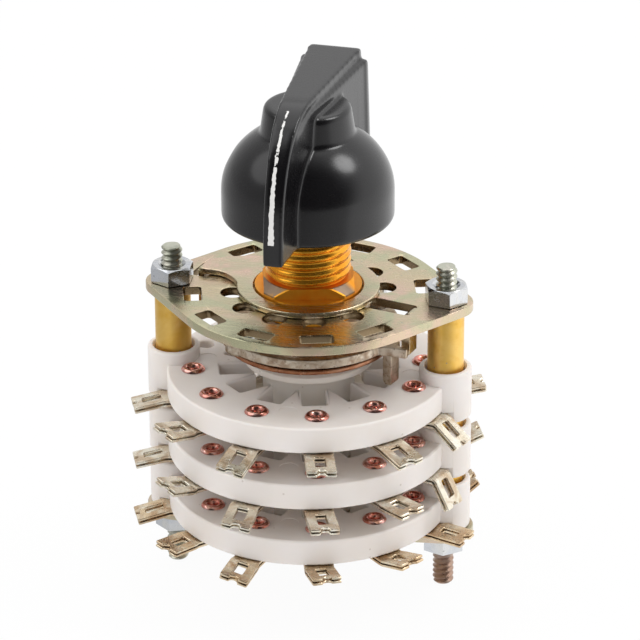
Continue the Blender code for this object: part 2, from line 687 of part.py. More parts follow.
def blade_mesh(angle):
    """The rotor's contact ring, which the common terminal grips, with one tongue for the positions."""
    half = math.degrees(math.asin(TONGUE_WIDE / 2 / BLADE_R))
    ring = arc((0, 0), BLADE_R, half, 360 - half, 32)
    tongue = [(TONGUE_R - 0.4 * MM, -TONGUE_WIDE / 2), (TONGUE_R, -TONGUE_WIDE / 4)]
    tongue += [(TONGUE_R, TONGUE_WIDE / 4), (TONGUE_R - 0.4 * MM, TONGUE_WIDE / 2)]
    key = polygon(BLADE_KEY_FLATS + 2 * FIT, 6)
    return sheet("contact_blade", turned_round(ring + tongue, angle), [key], -BLADE_T / 2, BLADE_T / 2)


def spacer_mesh(length):
    """A brass tube standing on Z = 0."""
    profile = [(ROD_HOLE_R, 0), (SPACER_R, 0), (SPACER_R, length), (ROD_HOLE_R, length)]
    return turned("spacer", profile, steps=SPACER_SIDES)


def rod_mesh():
    chamfer = 0.35 * MM
    profile = [(0, ROD_TOP), (ROD_R - chamfer, ROD_TOP), (ROD_R, ROD_TOP - chamfer)]
    low = ROD_TOP - ROD_LENGTH
    profile += [(ROD_R, low + chamfer), (ROD_R - chamfer, low), (0, low)]
    return turned("tie_rod", profile, closed=False)


def nut_mesh():
    """A hexagon nut standing on Z = 0, chamfered at its upper face."""
    corner = NUT_FLATS / math.sqrt(3)
    body = sheet("nut", polygon(NUT_FLATS, 6), [hole((0, 0), ROD_R + FIT)], 0, NUT_HEIGHT)
    reach = 2 * corner
    rise = NUT_CHAMFER * (reach - NUT_FLATS / 2) / (corner - NUT_FLATS / 2)
    barrel = [(0, -MM), (reach, -MM), (reach, NUT_HEIGHT - rise), (NUT_FLATS / 2, NUT_HEIGHT)]
    barrel += [(0, NUT_HEIGHT)]
    return combined("nut", body, ("INTERSECT", turned("nut_barrel", barrel, closed=False, steps=12)))


def strap_mesh():
    """The strap below the last wafer, which the tie rods pull up and the shaft's end turns in."""
    outline = hull_of_circles([(0, 0, STRAP_WAIST_R), (POST_X, 0, PLATE_END_R), (-POST_X, 0, PLATE_END_R)])
    holes = [hole((side * POST_X, 0), ROD_HOLE_R) for side in (-1, 1)]
    holes.append(circle((0, 0), SHAFT_R + RUN, SHAFT_SIDES))
    return sheet("rear_strap", outline, holes, STRAP_LOW, STRAP_TOP)


def knob_dome_profile():
    """The dome's outside, from its top at the axis down to its lower edge, as radius and height."""
    points = [(0, NECK_HEIGHT)]
    corner = (NECK_TOP_R - NECK_EDGE, NECK_HEIGHT - NECK_EDGE)
    points += [tuple(point) for point in arc(corner, NECK_EDGE, 90, 0, 3)]
    start = math.asin(NECK_R / KNOB_R)
    rise = (DOME_HEIGHT - SKIRT_HEIGHT) / math.cos(start)
    steps = 6
    for i in range(steps + 1):
        lean = start + (math.pi / 2 - start) * i / steps
        points.append((KNOB_R * math.sin(lean), SKIRT_HEIGHT + rise * math.cos(lean)))
    return points + [(KNOB_R, -MM), (0, -MM)]


def pointer_side(drop, front):
    """The pointer's side view along its own X, from the tail's foot over the level top to the nose."""
    top = KNOB_HEIGHT - drop
    reach = POINTER_REACH - front
    low = -2 * MM - drop
    nose = reach - NOSE_LONG
    tail = TAIL_REACH + TAIL_BULGE - 0.3 * drop
    points = [(-tail - TAIL_LEAN, low), (-tail, top - TAIL_EDGE)]
    points += [(-tail + 0.3 * TAIL_EDGE, top - 0.3 * TAIL_EDGE), (-tail + TAIL_EDGE, top), (nose, top)]
    steps = 8
    for i in range(1, steps + 1):
        lean = math.pi / 2 * i / steps
        along = math.sin(lean) ** (2 / NOSE_FULLNESS)
        up = math.cos(lean) ** (2 / NOSE_FULLNESS) if i < steps else 0
        points.append((nose + NOSE_LONG * along, top * up))
    return points + [(reach, low)]


def pointer_plan(tail_half, tip_half):
    """The pointer seen from above: hollow flanks from the tip to the tail, and a bulging tail."""
    steps = 6
    front = POINTER_REACH + MM
    side = []
    for i in range(steps + 1):
        share = i / steps
        half = tip_half + (tail_half - tip_half) * share**POINTER_FLARE
        side.append((front - share * (front + TAIL_REACH), half))
    side.append((-TAIL_REACH - TAIL_BULGE - TAIL_LEAN, tail_half / 2))
    return side + [(x, -y) for x, y in reversed(side)]


def knob_mesh():
    """A domed skirt with a pointer across it, hollow below round a boss. Its lower edge is Z = 0."""
    dome = turned("knob", knob_dome_profile(), closed=False, steps=KNOB_SIDES)
    rib = (0, 0, RIB_TAIL_HALF, POINTER_TIP_HALF)
    wings = (WING_DROP, WING_FRONT, WING_TAIL_HALF, WING_TIP_HALF)
    parts = []
    for drop, front, tail_half, tip_half in (rib, wings):
        plan = sheet("pointer_plan", pointer_plan(tail_half, tip_half), [], -5 * MM, KNOB_HEIGHT + MM)
        side = across("pointer_side", pointer_side(drop, front), KNOB_R)
        parts.append(combined("pointer", plan, ("INTERSECT", side)))
    inside = KNOB_R - KNOB_WALL
    hollow = [(KNOB_BOSS_R, -MM), (inside, -MM), (inside, KNOB_HOLLOW - HOLLOW_CHAMFER)]
    hollow += [(inside - HOLLOW_CHAMFER, KNOB_HOLLOW), (KNOB_BOSS_R, KNOB_HOLLOW)]
    hollow = turned("hollow", hollow)
    socket = sheet("socket", circle((0, 0), INSERT_R + FIT), [], -MM, INSERT_HEIGHT + SEAT)
    screw_hole = sheet("screw_hole", circle((0, 0), SET_SCREW_R + FIT), [], INSERT_R / 2, KNOB_R + 2 * MM)
    screw_hole.transform(set_screw_turn())
    steps = [("UNION", part) for part in parts]
    under = block("under", (-3 * KNOB_R, -2 * KNOB_R, -8 * MM), (3 * KNOB_R, 2 * KNOB_R, 0))
    steps += [("DIFFERENCE", cutter) for cutter in (under, hollow, socket, screw_hole)]
    knob = combined("knob", dome, *steps)
    knob.transform(knob_place())
    return knob


def set_screw_turn():
    """Lays a shape that stands on Z along the set screw's axis, square to the pointer."""
    return Matrix.Translation((0, 0, SET_SCREW_HEIGHT)) @ Matrix.Rotation(math.pi / 2, 4, "X")


def knob_place():
    return Matrix.Translation((0, 0, KNOB_LOW)) @ Matrix.Rotation(math.radians(POINTER_ANGLE), 4, "Z")


def knob_insert_mesh():
    """A brass sleeve moulded in the knob's boss, tapped across for the set screw."""
    bore = circle((0, 0), SHAFT_R + FIT, SHAFT_SIDES)
    sleeve = sheet("knob_insert", circle((0, 0), INSERT_R), [bore], 0, INSERT_HEIGHT)
    screw_hole = sheet("screw_hole", circle((0, 0), SET_SCREW_R + FIT), [], SHAFT_R / 2, KNOB_R)
    screw_hole.transform(set_screw_turn())
    insert = combined("knob_insert", sleeve, ("DIFFERENCE", screw_hole))
    insert.transform(knob_place())
    return insert


def set_screw_mesh():
    """A slotted grub screw that bears on the shaft."""
    start = SHAFT_R + FIT
    end = KNOB_R - SET_SCREW_INSET
    body = sheet("set_screw", circle((0, 0), SET_SCREW_R), [], start, end)
    half = SCREW_SLOT_WIDE / 2
    low = (-SET_SCREW_R * 2, -half, end - SCREW_SLOT_DEEP)
    slot = block("slot", low, (SET_SCREW_R * 2, half, end + MM))
    screw = combined("set_screw", body, ("DIFFERENCE", slot))
    screw.transform(knob_place() @ set_screw_turn())
    return screw


def end_washer_mesh():
    """The washer that holds the last rotor's blade on its boss and runs on the strap."""
    top = LAST_WAFER_TOP + BOSS_LOW - SEAT
    return sheet("rotor_end_washer", circle((0, 0), END_WASHER_R), [drive_hole()], STRAP_TOP + SEAT, top)


def build_mechanism(turning):
    """The shaft and all that turns with it, apart from the rotors."""
    steel = material("shaft_steel", (0.55, 0.54, 0.51), 0.35, 1)
    zinc = material("index_zinc", (0.62, 0.55, 0.45), 0.35, 1)
    place("shaft", shaft_mesh(), steel, parent=turning)
    place("index_disc", index_disc_mesh(), zinc, parent=turning)
    bronze = material("spring_bronze", (0.60, 0.27, 0.12), 0.3, 1)
    place("index_spring", index_spring_mesh(), bronze, parent=turning)
    clip_low = SPRING_LOW - SEAT - SPRING_CLIP_T
    clip_steel = material("clip_steel", (0.4, 0.4, 0.4), 0.4, 1)
    place("spring_clip", spring_clip_mesh(), clip_steel, (0, 0, clip_low), 0, turning)
    chrome_steel = material("ball_steel", (0.7, 0.7, 0.7), 0.15, 1)
    ball = ball_mesh()
    height = SPRING_TOP - spring_drop(DETENT_AT) + SEAT + BALL_R
    for i, angle in enumerate(ball_angles()):
        spot = polar(DETENT_AT, angle)
        place(f"detent_ball_{i + 1}", ball, chrome_steel, (*spot, height), 0, turning)


def build_knob(turning):
    place("knob", knob_mesh(), material("knob_black", (0.012, 0.012, 0.013), 0.15), parent=turning)
    brass = material("insert_brass", (0.75, 0.5, 0.2), 0.3, 1)
    steel = material("screw_steel", (0.3, 0.3, 0.3), 0.4, 1)
    place("knob_insert", knob_insert_mesh(), brass, parent=turning)
    place("knob_set_screw", set_screw_mesh(), steel, parent=turning)


def build_rotors(turning):
    plastic = material("rotor_white", (0.8, 0.78, 0.74), 0.5)
    silver = material("blade_silver", (0.7, 0.66, 0.56), 0.3, 1)
    rotor = rotor_mesh()
    blade = blade_mesh(POSITION_SITES[0])
    for i in range(WAFERS):
        top = WAFER_1_TOP - i * WAFER_PITCH
        place(f"rotor_{i + 1}", rotor, plastic, (0, 0, top), 0, turning)
        place(f"contact_blade_{i + 1}", blade, silver, (0, 0, top + BLADE_MID), 0, turning)
    fibre = material("washer_fibre", (0.5, 0.3, 0.18), 0.6)
    place("rotor_end_washer", end_washer_mesh(), fibre, parent=turning)


def build_top():
    place("threaded_bushing", bushing_mesh(), material("bushing_brass", (0.85, 0.47, 0.08), 0.2, 1))
    place("stop_washer", stop_washer_mesh(), material("washer_zinc", (0.66, 0.6, 0.42), 0.3, 1))
    place("mounting_plate", plate_mesh(), material("plate_zinc", (0.62, 0.57, 0.38), 0.3, 1))


def build_wafers():
    plastic = material("wafer_white", (0.82, 0.79, 0.75), 0.5)
    tinned = material("terminal_tinned", (0.68, 0.58, 0.40), 0.35, 1)
    wafer = wafer_mesh()
    position = terminal_mesh(POSITION_JAW)
    common = terminal_mesh(COMMON_JAW)
    for i in range(WAFERS):
        top = WAFER_1_TOP - i * WAFER_PITCH
        place(f"wafer_{i + 1}", wafer, plastic, (0, 0, top))
        for angle, bends in zip((*POSITION_SITES, COMMON_SITE), BENT[i]):
            name = f"terminal_{i + 1}_{angle}"
            leaf = bent(common if angle == COMMON_SITE else position, *bends, name)
            place(name, leaf, tinned, (0, 0, top), angle)


def build_posts():
    """Tie rods, nuts, spacers and the strap that hold the stack together."""
    brass = material("spacer_brass", (0.78, 0.55, 0.22), 0.35, 1)
    zinc = material("nut_zinc", (0.72, 0.74, 0.76), 0.25, 1)
    screw = material("rod_zinc", (0.5, 0.5, 0.42), 0.35, 1)
    long_spacer = spacer_mesh(LONG_SPACER)
    short_spacer = spacer_mesh(SHORT_SPACER)
    rod = rod_mesh()
    nut = nut_mesh()
    sides_of_stack = zip(("left", "right"), (-POST_X, POST_X), TOP_NUT_TURNS, BOTTOM_NUT_TURNS)
    for side, x, top_turn, bottom_turn in sides_of_stack:
        place(f"tie_rod_{side}", rod, screw, (x, 0, 0))
        place(f"long_spacer_{side}", long_spacer, brass, (x, 0, PLATE_LOW - SEAT - LONG_SPACER))
        place(f"top_nut_{side}", nut, zinc, (x, 0, PLATE_TOP + SEAT), top_turn)
        place(f"bottom_nut_{side}", nut, zinc, (x, 0, STRAP_LOW - SEAT - NUT_HEIGHT), bottom_turn)
        for i in range(1, WAFERS):
            low = WAFER_1_TOP - i * WAFER_PITCH + EAR_RISE - EAR_POCKET + SEAT
            place(f"short_spacer_{side}_{i}", short_spacer, brass, (x, 0, low))
    place("rear_strap", strap_mesh(), material("strap_zinc", (0.6, 0.55, 0.4), 0.35, 1))


def main():
    for leftover in list(bpy.data.objects):
        bpy.data.objects.remove(leftover)
    turning = bpy.data.objects.new("shaft_axis", None)
    turning.empty_display_size = KNOB_R
    bpy.context.scene.collection.objects.link(turning)
    build_top()
    build_posts()
    build_wafers()
    build_mechanism(turning)
    build_rotors(turning)
    build_knob(turning)


main()
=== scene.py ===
"""The finish of a six-position rotary switch.

Metres, in the frame's own axes. The shaft stands on Z, the tie rods on the X axis. Angles are in degrees.
"""

import itertools
import json
import math
import bmesh
import bpy
from mathutils import Matrix, Vector


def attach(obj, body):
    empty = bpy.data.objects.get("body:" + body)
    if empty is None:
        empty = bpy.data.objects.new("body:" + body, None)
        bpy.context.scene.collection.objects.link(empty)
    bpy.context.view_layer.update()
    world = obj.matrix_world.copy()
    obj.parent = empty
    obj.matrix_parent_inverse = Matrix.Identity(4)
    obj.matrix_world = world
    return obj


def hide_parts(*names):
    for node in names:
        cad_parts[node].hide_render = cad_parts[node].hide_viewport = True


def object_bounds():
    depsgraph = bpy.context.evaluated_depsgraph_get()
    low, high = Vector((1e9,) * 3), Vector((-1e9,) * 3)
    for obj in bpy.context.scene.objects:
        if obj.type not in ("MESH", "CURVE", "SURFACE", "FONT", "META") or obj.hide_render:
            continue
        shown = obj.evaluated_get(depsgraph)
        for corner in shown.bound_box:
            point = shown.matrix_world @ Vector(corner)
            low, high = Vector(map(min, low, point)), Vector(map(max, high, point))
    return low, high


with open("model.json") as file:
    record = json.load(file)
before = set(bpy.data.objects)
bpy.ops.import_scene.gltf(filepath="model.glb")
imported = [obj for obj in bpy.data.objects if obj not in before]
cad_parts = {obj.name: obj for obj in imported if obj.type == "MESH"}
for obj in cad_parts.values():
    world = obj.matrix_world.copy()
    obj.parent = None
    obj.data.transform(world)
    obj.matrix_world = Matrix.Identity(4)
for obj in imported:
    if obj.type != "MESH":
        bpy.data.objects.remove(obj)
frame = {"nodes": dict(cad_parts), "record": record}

CAD_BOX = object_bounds()
MM = 0.001

# Camera, as the photograph was taken
CAMERA_AT = Vector((93.15, -469.03, 218.29)) * MM
CAMERA_AZIMUTH = 11.041
CAMERA_PITCH = 25.093
CAMERA_ROLL = -0.204
CAMERA_LENS = 211.84
CAMERA_CLIP = 0.01
SENSOR = 36.0

# Clearances
SEAT = 0.1 * MM  # between two faces that rest on each other
RUN = 0.08 * MM  # radial, between the shaft and its bearings
FIT = 0.1 * MM  # radial, between a hole and the piece in it

# Contact layout
WAFERS = 3
SITES = 12
SITE_STEP = 360 / SITES
FIRST_SITE = 15
POSITION_SITES = (345, 315, 285, 255, 225, 195)
COMMON_SITE = 15
STOP_SITE = 345
LIMIT_SITE = 165

# Tie rods, nuts and spacers
POST_X = 19.5 * MM
SIDES = (("left", -POST_X), ("right", POST_X))
ROD_R = 1.5 * MM
ROD_LENGTH = 49.5 * MM
ROD_ABOVE_PLATE = 5.25 * MM
ROD_HOLE_R = 1.65 * MM
ROD_PITCH = 0.82 * MM
ROD_THREAD_DEPTH = 0.36 * MM
ROD_CHAMFER = 0.3 * MM
NUT_FLATS = 5.5 * MM
NUT_HEIGHT = 2.4 * MM
NUT_CHAMFER = 0.35 * MM
NUT_CORNER = 0.12 * MM
NUT_DISH_R = ROD_R + 1.45 * MM
NUT_DISH_DEEP = 0.45 * MM
TOP_NUT_TURNS = (33, 48)  # left and right
LOW_NUT_TURNS = (20, 38)
SPACER_R = 2.55 * MM
LONG_SPACER = 9.95 * MM
SHORT_SPACER = 2.5 * MM

# Mounting plate
PLATE_R = 18.9 * MM
PLATE_END_R = 3.75 * MM
PLATE_T = 1.3 * MM
PLATE_SLOT_AT = 16.2 * MM
PLATE_SLOT_LONG = 4.6 * MM
PLATE_SLOT_WIDE = 2.5 * MM
PLATE_SLOT_CORNER = 0.45 * MM
STOP_SLOT_CORNER = 0.8 * MM
PLATE_EDGE = 0.16 * MM
DETENT_AT = 10.6 * MM
DETENT_R = 1.7 * MM

# Stop washer, whose tail sets the last position
WASHER_R = 10.0 * MM
WASHER_T = 0.85 * MM
WASHER_HOLE_R = 7.7 * MM
TAIL_HALF = 1.7 * MM
STOP_DROP = 6.6 * MM  # from the panel face down to the stops' lower ends
TAB_WIDE = 2.4 * MM
TAB_AT = 15.5 * MM
TAB_INSET = 0.05 * MM  # of the tab's bend from the plate's faces, so that none of them share a plane
TAB_BEVEL = 0.3 * MM

# Bushing
BUSHING_R = 6.0 * MM
BUSHING_TOP = 9.6 * MM
THREAD_PITCH = 1.2 * MM
THREAD_DEPTH = 0.3 * MM
THREAD_CHAMFER = 0.5 * MM
RELIEF_R = 5.3 * MM  # the groove where the thread runs out above the collar
RELIEF_LONG = 0.6 * MM
COLLAR_FLATS = 11.6 * MM
COLLAR_SIDE_FLATS = 12.6 * MM
COLLAR_LIP = 0.15 * MM
COLLAR_FLATS_ANGLE = 283
COLLAR_R = 7.5 * MM
COLLAR_TOP = 1.7 * MM
COLLAR_CHAMFER = 1.1 * MM
SPIGOT_R = 6.3 * MM
PEEN_R = 7.6 * MM
PEEN_T = 1.0 * MM

# Shaft
SHAFT_R = 3.0 * MM
SHAFT_FLATS = 4.4 * MM
SHAFT_COLLAR_T = 2.25 * MM

# Index mechanism
INDEX_R = 12.8 * MM
INDEX_T = 1.4 * MM
BALL_R = 2.5 * MM
BALL_ANGLES = (225, 45)
SPRING_R = 11.9 * MM
SPRING_T = 0.75 * MM
SPRING_FLAT_R = 5.0 * MM
SPRING_DISH = 0.5 * MM
LUG_ANGLE = 335
LUG_R = 14.3 * MM
SPIKE_R = 16.5 * MM
FINGER_ANGLE = 339.5
FINGER_WIDE = 2.2 * MM
FINGER_END = 0.8 * MM  # above the first wafer

# Wafers
WAFER_R = 20.0 * MM
WAFER_T = 3.8 * MM
WAFER_BORE_R = 7.9 * MM
WAFER_EDGE = 0.35 * MM
NOTCH_R = 12.6 * MM
NOTCH_WIDE = 3.5 * MM
EAR_R = 3.7 * MM
EAR_RISE = 1.8 * MM
EAR_DROP = 5.7 * MM
EAR_EDGE = 0.5 * MM
EAR_POCKET = 1.5 * MM
PIN_MARK_AT = 14.6 * MM
PIN_MARK_R = 1.5 * MM
PIN_MARK_DEEP = 0.06 * MM
NOTCH_CORNER = 0.3 * MM

# Rivets and terminals, whose two leaves grip the rotor's contact blade
RIVET_AT = (NOTCH_R + WAFER_R) / 2
RIVET_HEAD_R = 1.7 * MM
RIVET_SHANK_R = 1.0 * MM
RIVET_HOLE_R = 1.1 * MM
LEAF_T = 0.45 * MM
LEAF_SHEET = 0.34 * MM
LEAF_EDGE = 0.06 * MM
LEAF_CORNER = 0.2 * MM
LEAF_HOLE_R = 0.95 * MM
FOLDS = 4
FOLD_SPREAD = 0.35 * MM  # to each side of the bend
TERMINAL_BEND = WAFER_R + 0.4 * MM
TERMINAL_TIP = TERMINAL_BEND + 4.6 * MM
TERMINAL_WIDE = 4.1 * MM
TERMINAL_SLOT_AT = TERMINAL_BEND + 1.8 * MM
TERMINAL_SLOT_LONG = 2.7 * MM
TERMINAL_SLOT_WIDE = 1.5 * MM
TERMINAL_ROOM = 0.3 * MM  # beside a terminal, where it passes a wafer's ear
TIP_NOTCH_R = 0.65 * MM
JAW_WIDE = 2.5 * MM
JAW_GAP = 0.6 * MM
POSITION_JAW = 9.7 * MM
COMMON_JAW = 8.3 * MM
# How each terminal is bent by hand at the wafer's edge: down, round (anticlockwise from above) and twisted.
# One row for a wafer, from the top, in the order of the sites
BENT = (
    ((38, -7, -2), (9, 1, 3), (1, 1, -2), (13, 1, -9), (-14, 9, -9), (10, 6, 2), (-7, 4, 0)),
    ((60, -6, 0), (-3, 6, 3), (4, 7, -3), (9, 11, -9), (-18, 10, -10), (10, 5, 2), (-24, 5, 0)),
    ((0, -6, 2), (-14, 7, 4), (-9, 10, 0), (3, 6, -12), (-5, 12, -5), (12, 7, -2), (-40, 6, 0)),
)

# Rotors and contact blades
HUB_R = 6.5 * MM
ROTOR_TOP_R = 7.8 * MM
ROTOR_NECK = 0.6 * MM
FLANGE_R = 9.3 * MM
FLANGE_TOP = 2.4 * MM
FLANGE_LOW = 1.5 * MM
BLADE_T = 0.4 * MM
BLADE_KEY_FLATS = 8.0 * MM

# Rear strap
STRAP_T = 1.2 * MM
STRAP_WAIST_R = 5.6 * MM
STRAP_END_R = 4.2 * MM
STRAP_EDGE = 0.15 * MM

# Knob
POINTER_ANGLE = 266
KNOB_GAP = 0.8 * MM  # above the bushing
KNOB_R = 12.0 * MM
SKIRT_HEIGHT = 4.0 * MM
DOME_HEIGHT = 12.5 * MM  # where the dome meets the neck
NECK_R = 6.6 * MM
NECK_TOP_R = 6.1 * MM
NECK_HEIGHT = 16.6 * MM
NECK_EDGE = 0.8 * MM
KNOB_HEIGHT = 19.5 * MM
WING_DROP = 1.4 * MM
WING_FRONT = 0.6 * MM  # from the pointer's tip back to the wings' tips
POINTER_REACH = KNOB_R + 6.4 * MM
NOSE_LONG = 13.5 * MM
NOSE_FULLNESS = 2.4  # 2 is an ellipse, and more is squarer
TAIL_REACH = KNOB_R + 2.9 * MM
TAIL_EDGE = 1.0 * MM
TAIL_BULGE = 1.0 * MM  # how much further back its middle reaches
TAIL_LEAN = 0.6 * MM  # how much further back the tail reaches at its foot
TAIL_ROUND = 1.1 * MM
TAIL_FULLNESS = 4.0
TAIL_DRAFT = 0.13  # the share of its width that it loses at the top
DRAFT_FROM = 8 * MM
POINTER_TIP_HALF = 1.35 * MM
WING_TIP_HALF = 1.2 * MM
RIB_TAIL_HALF = 4.0 * MM
WING_TAIL_HALF = 5.35 * MM
POINTER_FLARE = 1.35  # 1 is a straight taper, and more is hollow
KNOB_WALL = 1.9 * MM
KNOB_BOSS_R = 5.0 * MM
KNOB_HOLLOW = 6.5 * MM
SKIRT_ROUND = 0.6 * MM
KNOB_VOXEL = 0.15 * MM
KNOB_SHARE = 0.48  # of its triangles, kept after its creases are smoothed
KNOB_FILLET_PASSES = 20
PROFILE_STEPS = 40
TAIL_STEPS = 16
INSERT_R = 4.0 * MM
INSERT_HEIGHT = 11.0 * MM
SET_SCREW_R = 1.5 * MM
SET_SCREW_HEIGHT = 7.4 * MM  # of its axis above the knob's lower edge

# The stack, from the panel face down
PLATE_TOP = -WASHER_T - SEAT
PLATE_LOW = PLATE_TOP - PLATE_T
WAFER_1_TOP = PLATE_LOW - SEAT - LONG_SPACER - SEAT + EAR_POCKET - EAR_RISE
WAFER_PITCH = EAR_DROP + SEAT + SHORT_SPACER + SEAT + EAR_RISE - EAR_POCKET
LAST_WAFER_TOP = WAFER_1_TOP - (WAFERS - 1) * WAFER_PITCH
STRAP_TOP = LAST_WAFER_TOP - EAR_DROP - SEAT
STRAP_LOW = STRAP_TOP - STRAP_T
ROD_TOP = PLATE_TOP + ROD_ABOVE_PLATE
PEEN_LOW = PLATE_LOW - SEAT - PEEN_T
INDEX_TOP = PEEN_LOW - SEAT - SHAFT_COLLAR_T - SEAT
INDEX_LOW = INDEX_TOP - INDEX_T
SPRING_TOP = INDEX_LOW - SEAT
SPRING_LOW = SPRING_TOP - SPRING_T
STOPS_LOW = -STOP_DROP - WASHER_T

# Levels on a wafer, from its top face
LEAF_TOP = -WAFER_T - SEAT
BLADE_MID = LEAF_TOP - LEAF_T
LEAF_LOW = BLADE_MID - LEAF_T
ROTOR_LOW = BLADE_MID + BLADE_T / 2 + SEAT
BOSS_LOW = BLADE_MID - BLADE_T / 2
ROTOR_RISE = WAFER_PITCH + BOSS_LOW - SEAT

KNOB_LOW = BUSHING_TOP + KNOB_GAP

LONG_TOP = PLATE_LOW - SEAT
SHORT_TOPS = [LAST_WAFER_TOP + EAR_RISE - EAR_POCKET + SEAT + SHORT_SPACER + WAFER_PITCH * i for i in (1, 0)]

# Edges and tolerances of the finish's own shapes
WELD = 0.001 * MM
FILL_SLANT = 17.3  # the fill can leave gaps between points that are level with each other
CUT_EDGE = 0.01 * MM  # of the shapes that only cut or join others
TAB_EDGE = 0.12 * MM
SHEET_EDGE = 0.2 * MM


# ---- studio ----

WHITE = (1, 1, 1, 1)
AMBIENT = 0.82
TENT_OPENING = (0.31, -0.85, 0.42)  # a direction: in front, a little to the right and up
TENT_SHADES = ((0.3, 1.0), (0.86, 0.05))  # the cosine from that direction, and the tent's shade there
TENT_LEVEL = 0.85
TENT_SIDES = (0.4, 0.1, 0.0)  # the direction in which the tent grows brighter
FLOOR_HALF = 3.0
FLOOR_DROP = 0.05 * MM  # below the lowest piece
FLOOR_GREY = (0.86, 0.86, 0.86, 1)
FLOOR_WHITE = 0.95  # the share that glows, to the camera and in reflections
FLOOR_LEVEL = 0.95
FLOOR_FRONT = (0.47, -0.88, 0.0)  # the direction in which reflections show a darker floor
FLOOR_FRONT_EDGES = (0.74, 0.84)  # the cosines from that direction where the shade begins and is full
FLOOR_FRONT_SHADE = 0.5
LIGHTS = (  # name, place in millimetres, size in metres and power in watts
    ("key", (364, 64, 473), 0.25, 1.0),
    ("fill", (-370, -110, 460), 0.55, 0.9),
    ("back", (-60, 260, 520), 0.6, 0.6),
)


def new_object(name, data):
    made = bpy.data.objects.new(name, data)
    bpy.context.scene.collection.objects.link(made)
    return made


def about_z(degrees):
    return Matrix.Rotation(math.radians(degrees), 4, "Z")


def add_node(tree, kind, values=None, **settings):
    """Adds a shader node. Each input is given a value, or another node's output to link."""
    node = tree.nodes.new("ShaderNode" + kind)
    for key, value in settings.items():
        setattr(node, key, value)
    for key, value in (values or {}).items():
        if isinstance(value, bpy.types.NodeSocket):
            tree.links.new(value, node.inputs[key])
        else:
            node.inputs[key].default_value = value
    return node


def calc(tree, operation, first, second=0.0):
    return add_node(tree, "Math", {0: first, 1: second}, operation=operation).outputs[0]


def dot(tree, direction, other):
    return add_node(tree, "VectorMath", {0: direction, 1: other}, operation="DOT_PRODUCT").outputs["Value"]


def spread(tree, value, from_low, from_high, low=0.0, high=1.0):
    """A value stretched from one range to another."""
    values = {"Value": value, "From Min": from_low, "From Max": from_high, "To Min": low, "To Max": high}
    return add_node(tree, "MapRange", values).outputs[0]


def make_camera():
    camera = new_object("camera", bpy.data.cameras.new("camera"))
    camera.data.lens = CAMERA_LENS
    camera.data.sensor_width = SENSOR
    camera.data.clip_start = CAMERA_CLIP
    tilt = Matrix.Rotation(math.radians(90 - CAMERA_PITCH), 4, "X")
    facing = about_z(CAMERA_AZIMUTH) @ tilt @ about_z(CAMERA_ROLL)
    camera.matrix_world = Matrix.Translation(CAMERA_AT) @ facing
    bpy.context.scene.camera = camera


def make_world():
    """White for the camera, an even light, and for reflections a tent: brighter at right, dark in front."""
    world = bpy.data.worlds.new("white_studio")
    bpy.context.scene.world = world
    world.use_nodes = True
    tree = world.node_tree
    tree.nodes.clear()
    path = add_node(tree, "LightPath").outputs
    direction = add_node(tree, "TexCoord").outputs["Generated"]
    shade = add_node(tree, "ValToRGB", {0: dot(tree, direction, TENT_OPENING)})
    shade.color_ramp.interpolation = "EASE"
    for spot, (at, level) in zip(shade.color_ramp.elements, TENT_SHADES):
        spot.position = at
        spot.color = (level, level, level, 1)
    level = calc(tree, "ADD", dot(tree, direction, TENT_SIDES), TENT_LEVEL)
    ambient, tent, white = (
        add_node(tree, "Background", {"Color": colour, "Strength": strength}).outputs[0]
        for colour, strength in ((WHITE, AMBIENT), (shade.outputs[0], level), (WHITE, 1.0))
    )
    seen = calc(tree, "MAXIMUM", path["Is Camera Ray"], path["Is Transmission Ray"])
    lit = add_node(tree, "MixShader", {0: path["Is Glossy Ray"], 1: ambient, 2: tent}).outputs[0]
    shown = add_node(tree, "MixShader", {0: seen, 1: lit, 2: white}).outputs[0]
    add_node(tree, "OutputWorld", {"Surface": shown})


def make_light(name, at, size, power):
    """A round soft light, aimed at the origin."""
    light = bpy.data.lights.new(name, "AREA")
    light.shape = "DISK"
    light.size = size
    light.energy = power
    lamp = new_object(name, light)
    lamp.location = Vector(at) * MM
    lamp.rotation_euler = (-lamp.location).to_track_quat("-Z", "Y").to_euler()


def make_floor():
    """A pale floor, white to the camera and darker in the reflections that show its front."""
    solid = bmesh.new()
    bmesh.ops.create_grid(solid, x_segments=1, y_segments=1, size=FLOOR_HALF)
    bmesh.ops.translate(solid, verts=solid.verts, vec=(0, 0, CAD_BOX[0][2] - FLOOR_DROP))
    mesh = bpy.data.meshes.new("floor")
    solid.to_mesh(mesh)
    solid.free()
    floor = new_object("floor", mesh)
    material = bpy.data.materials.new("pale_floor")
    material.use_nodes = True
    tree = material.node_tree
    tree.nodes.clear()
    path = add_node(tree, "LightPath").outputs
    place = add_node(tree, "TexCoord").outputs["Object"]
    toward = add_node(tree, "VectorMath", {0: place}, operation="NORMALIZE").outputs[0]
    front = spread(tree, dot(tree, toward, FLOOR_FRONT), *FLOOR_FRONT_EDGES, 0.0, FLOOR_FRONT_SHADE)
    less = calc(tree, "ADD", dot(tree, toward, TENT_SIDES), FLOOR_LEVEL - 1)
    change = calc(tree, "MULTIPLY", calc(tree, "SUBTRACT", less, front), path["Is Glossy Ray"])
    lit = add_node(tree, "BsdfDiffuse", {"Color": FLOOR_GREY}).outputs[0]
    bright = calc(tree, "ADD", 1.0, change)
    glow = add_node(tree, "Emission", {"Color": WHITE, "Strength": bright}).outputs[0]
    seen = calc(tree, "MAXIMUM", path["Is Camera Ray"], path["Is Glossy Ray"])
    mix = add_node(tree, "MixShader", {0: calc(tree, "MULTIPLY", seen, FLOOR_WHITE), 1: lit, 2: glow})
    add_node(tree, "OutputMaterial", {"Surface": mix.outputs[0]})
    mesh.materials.append(material)


# ---- shapes ----


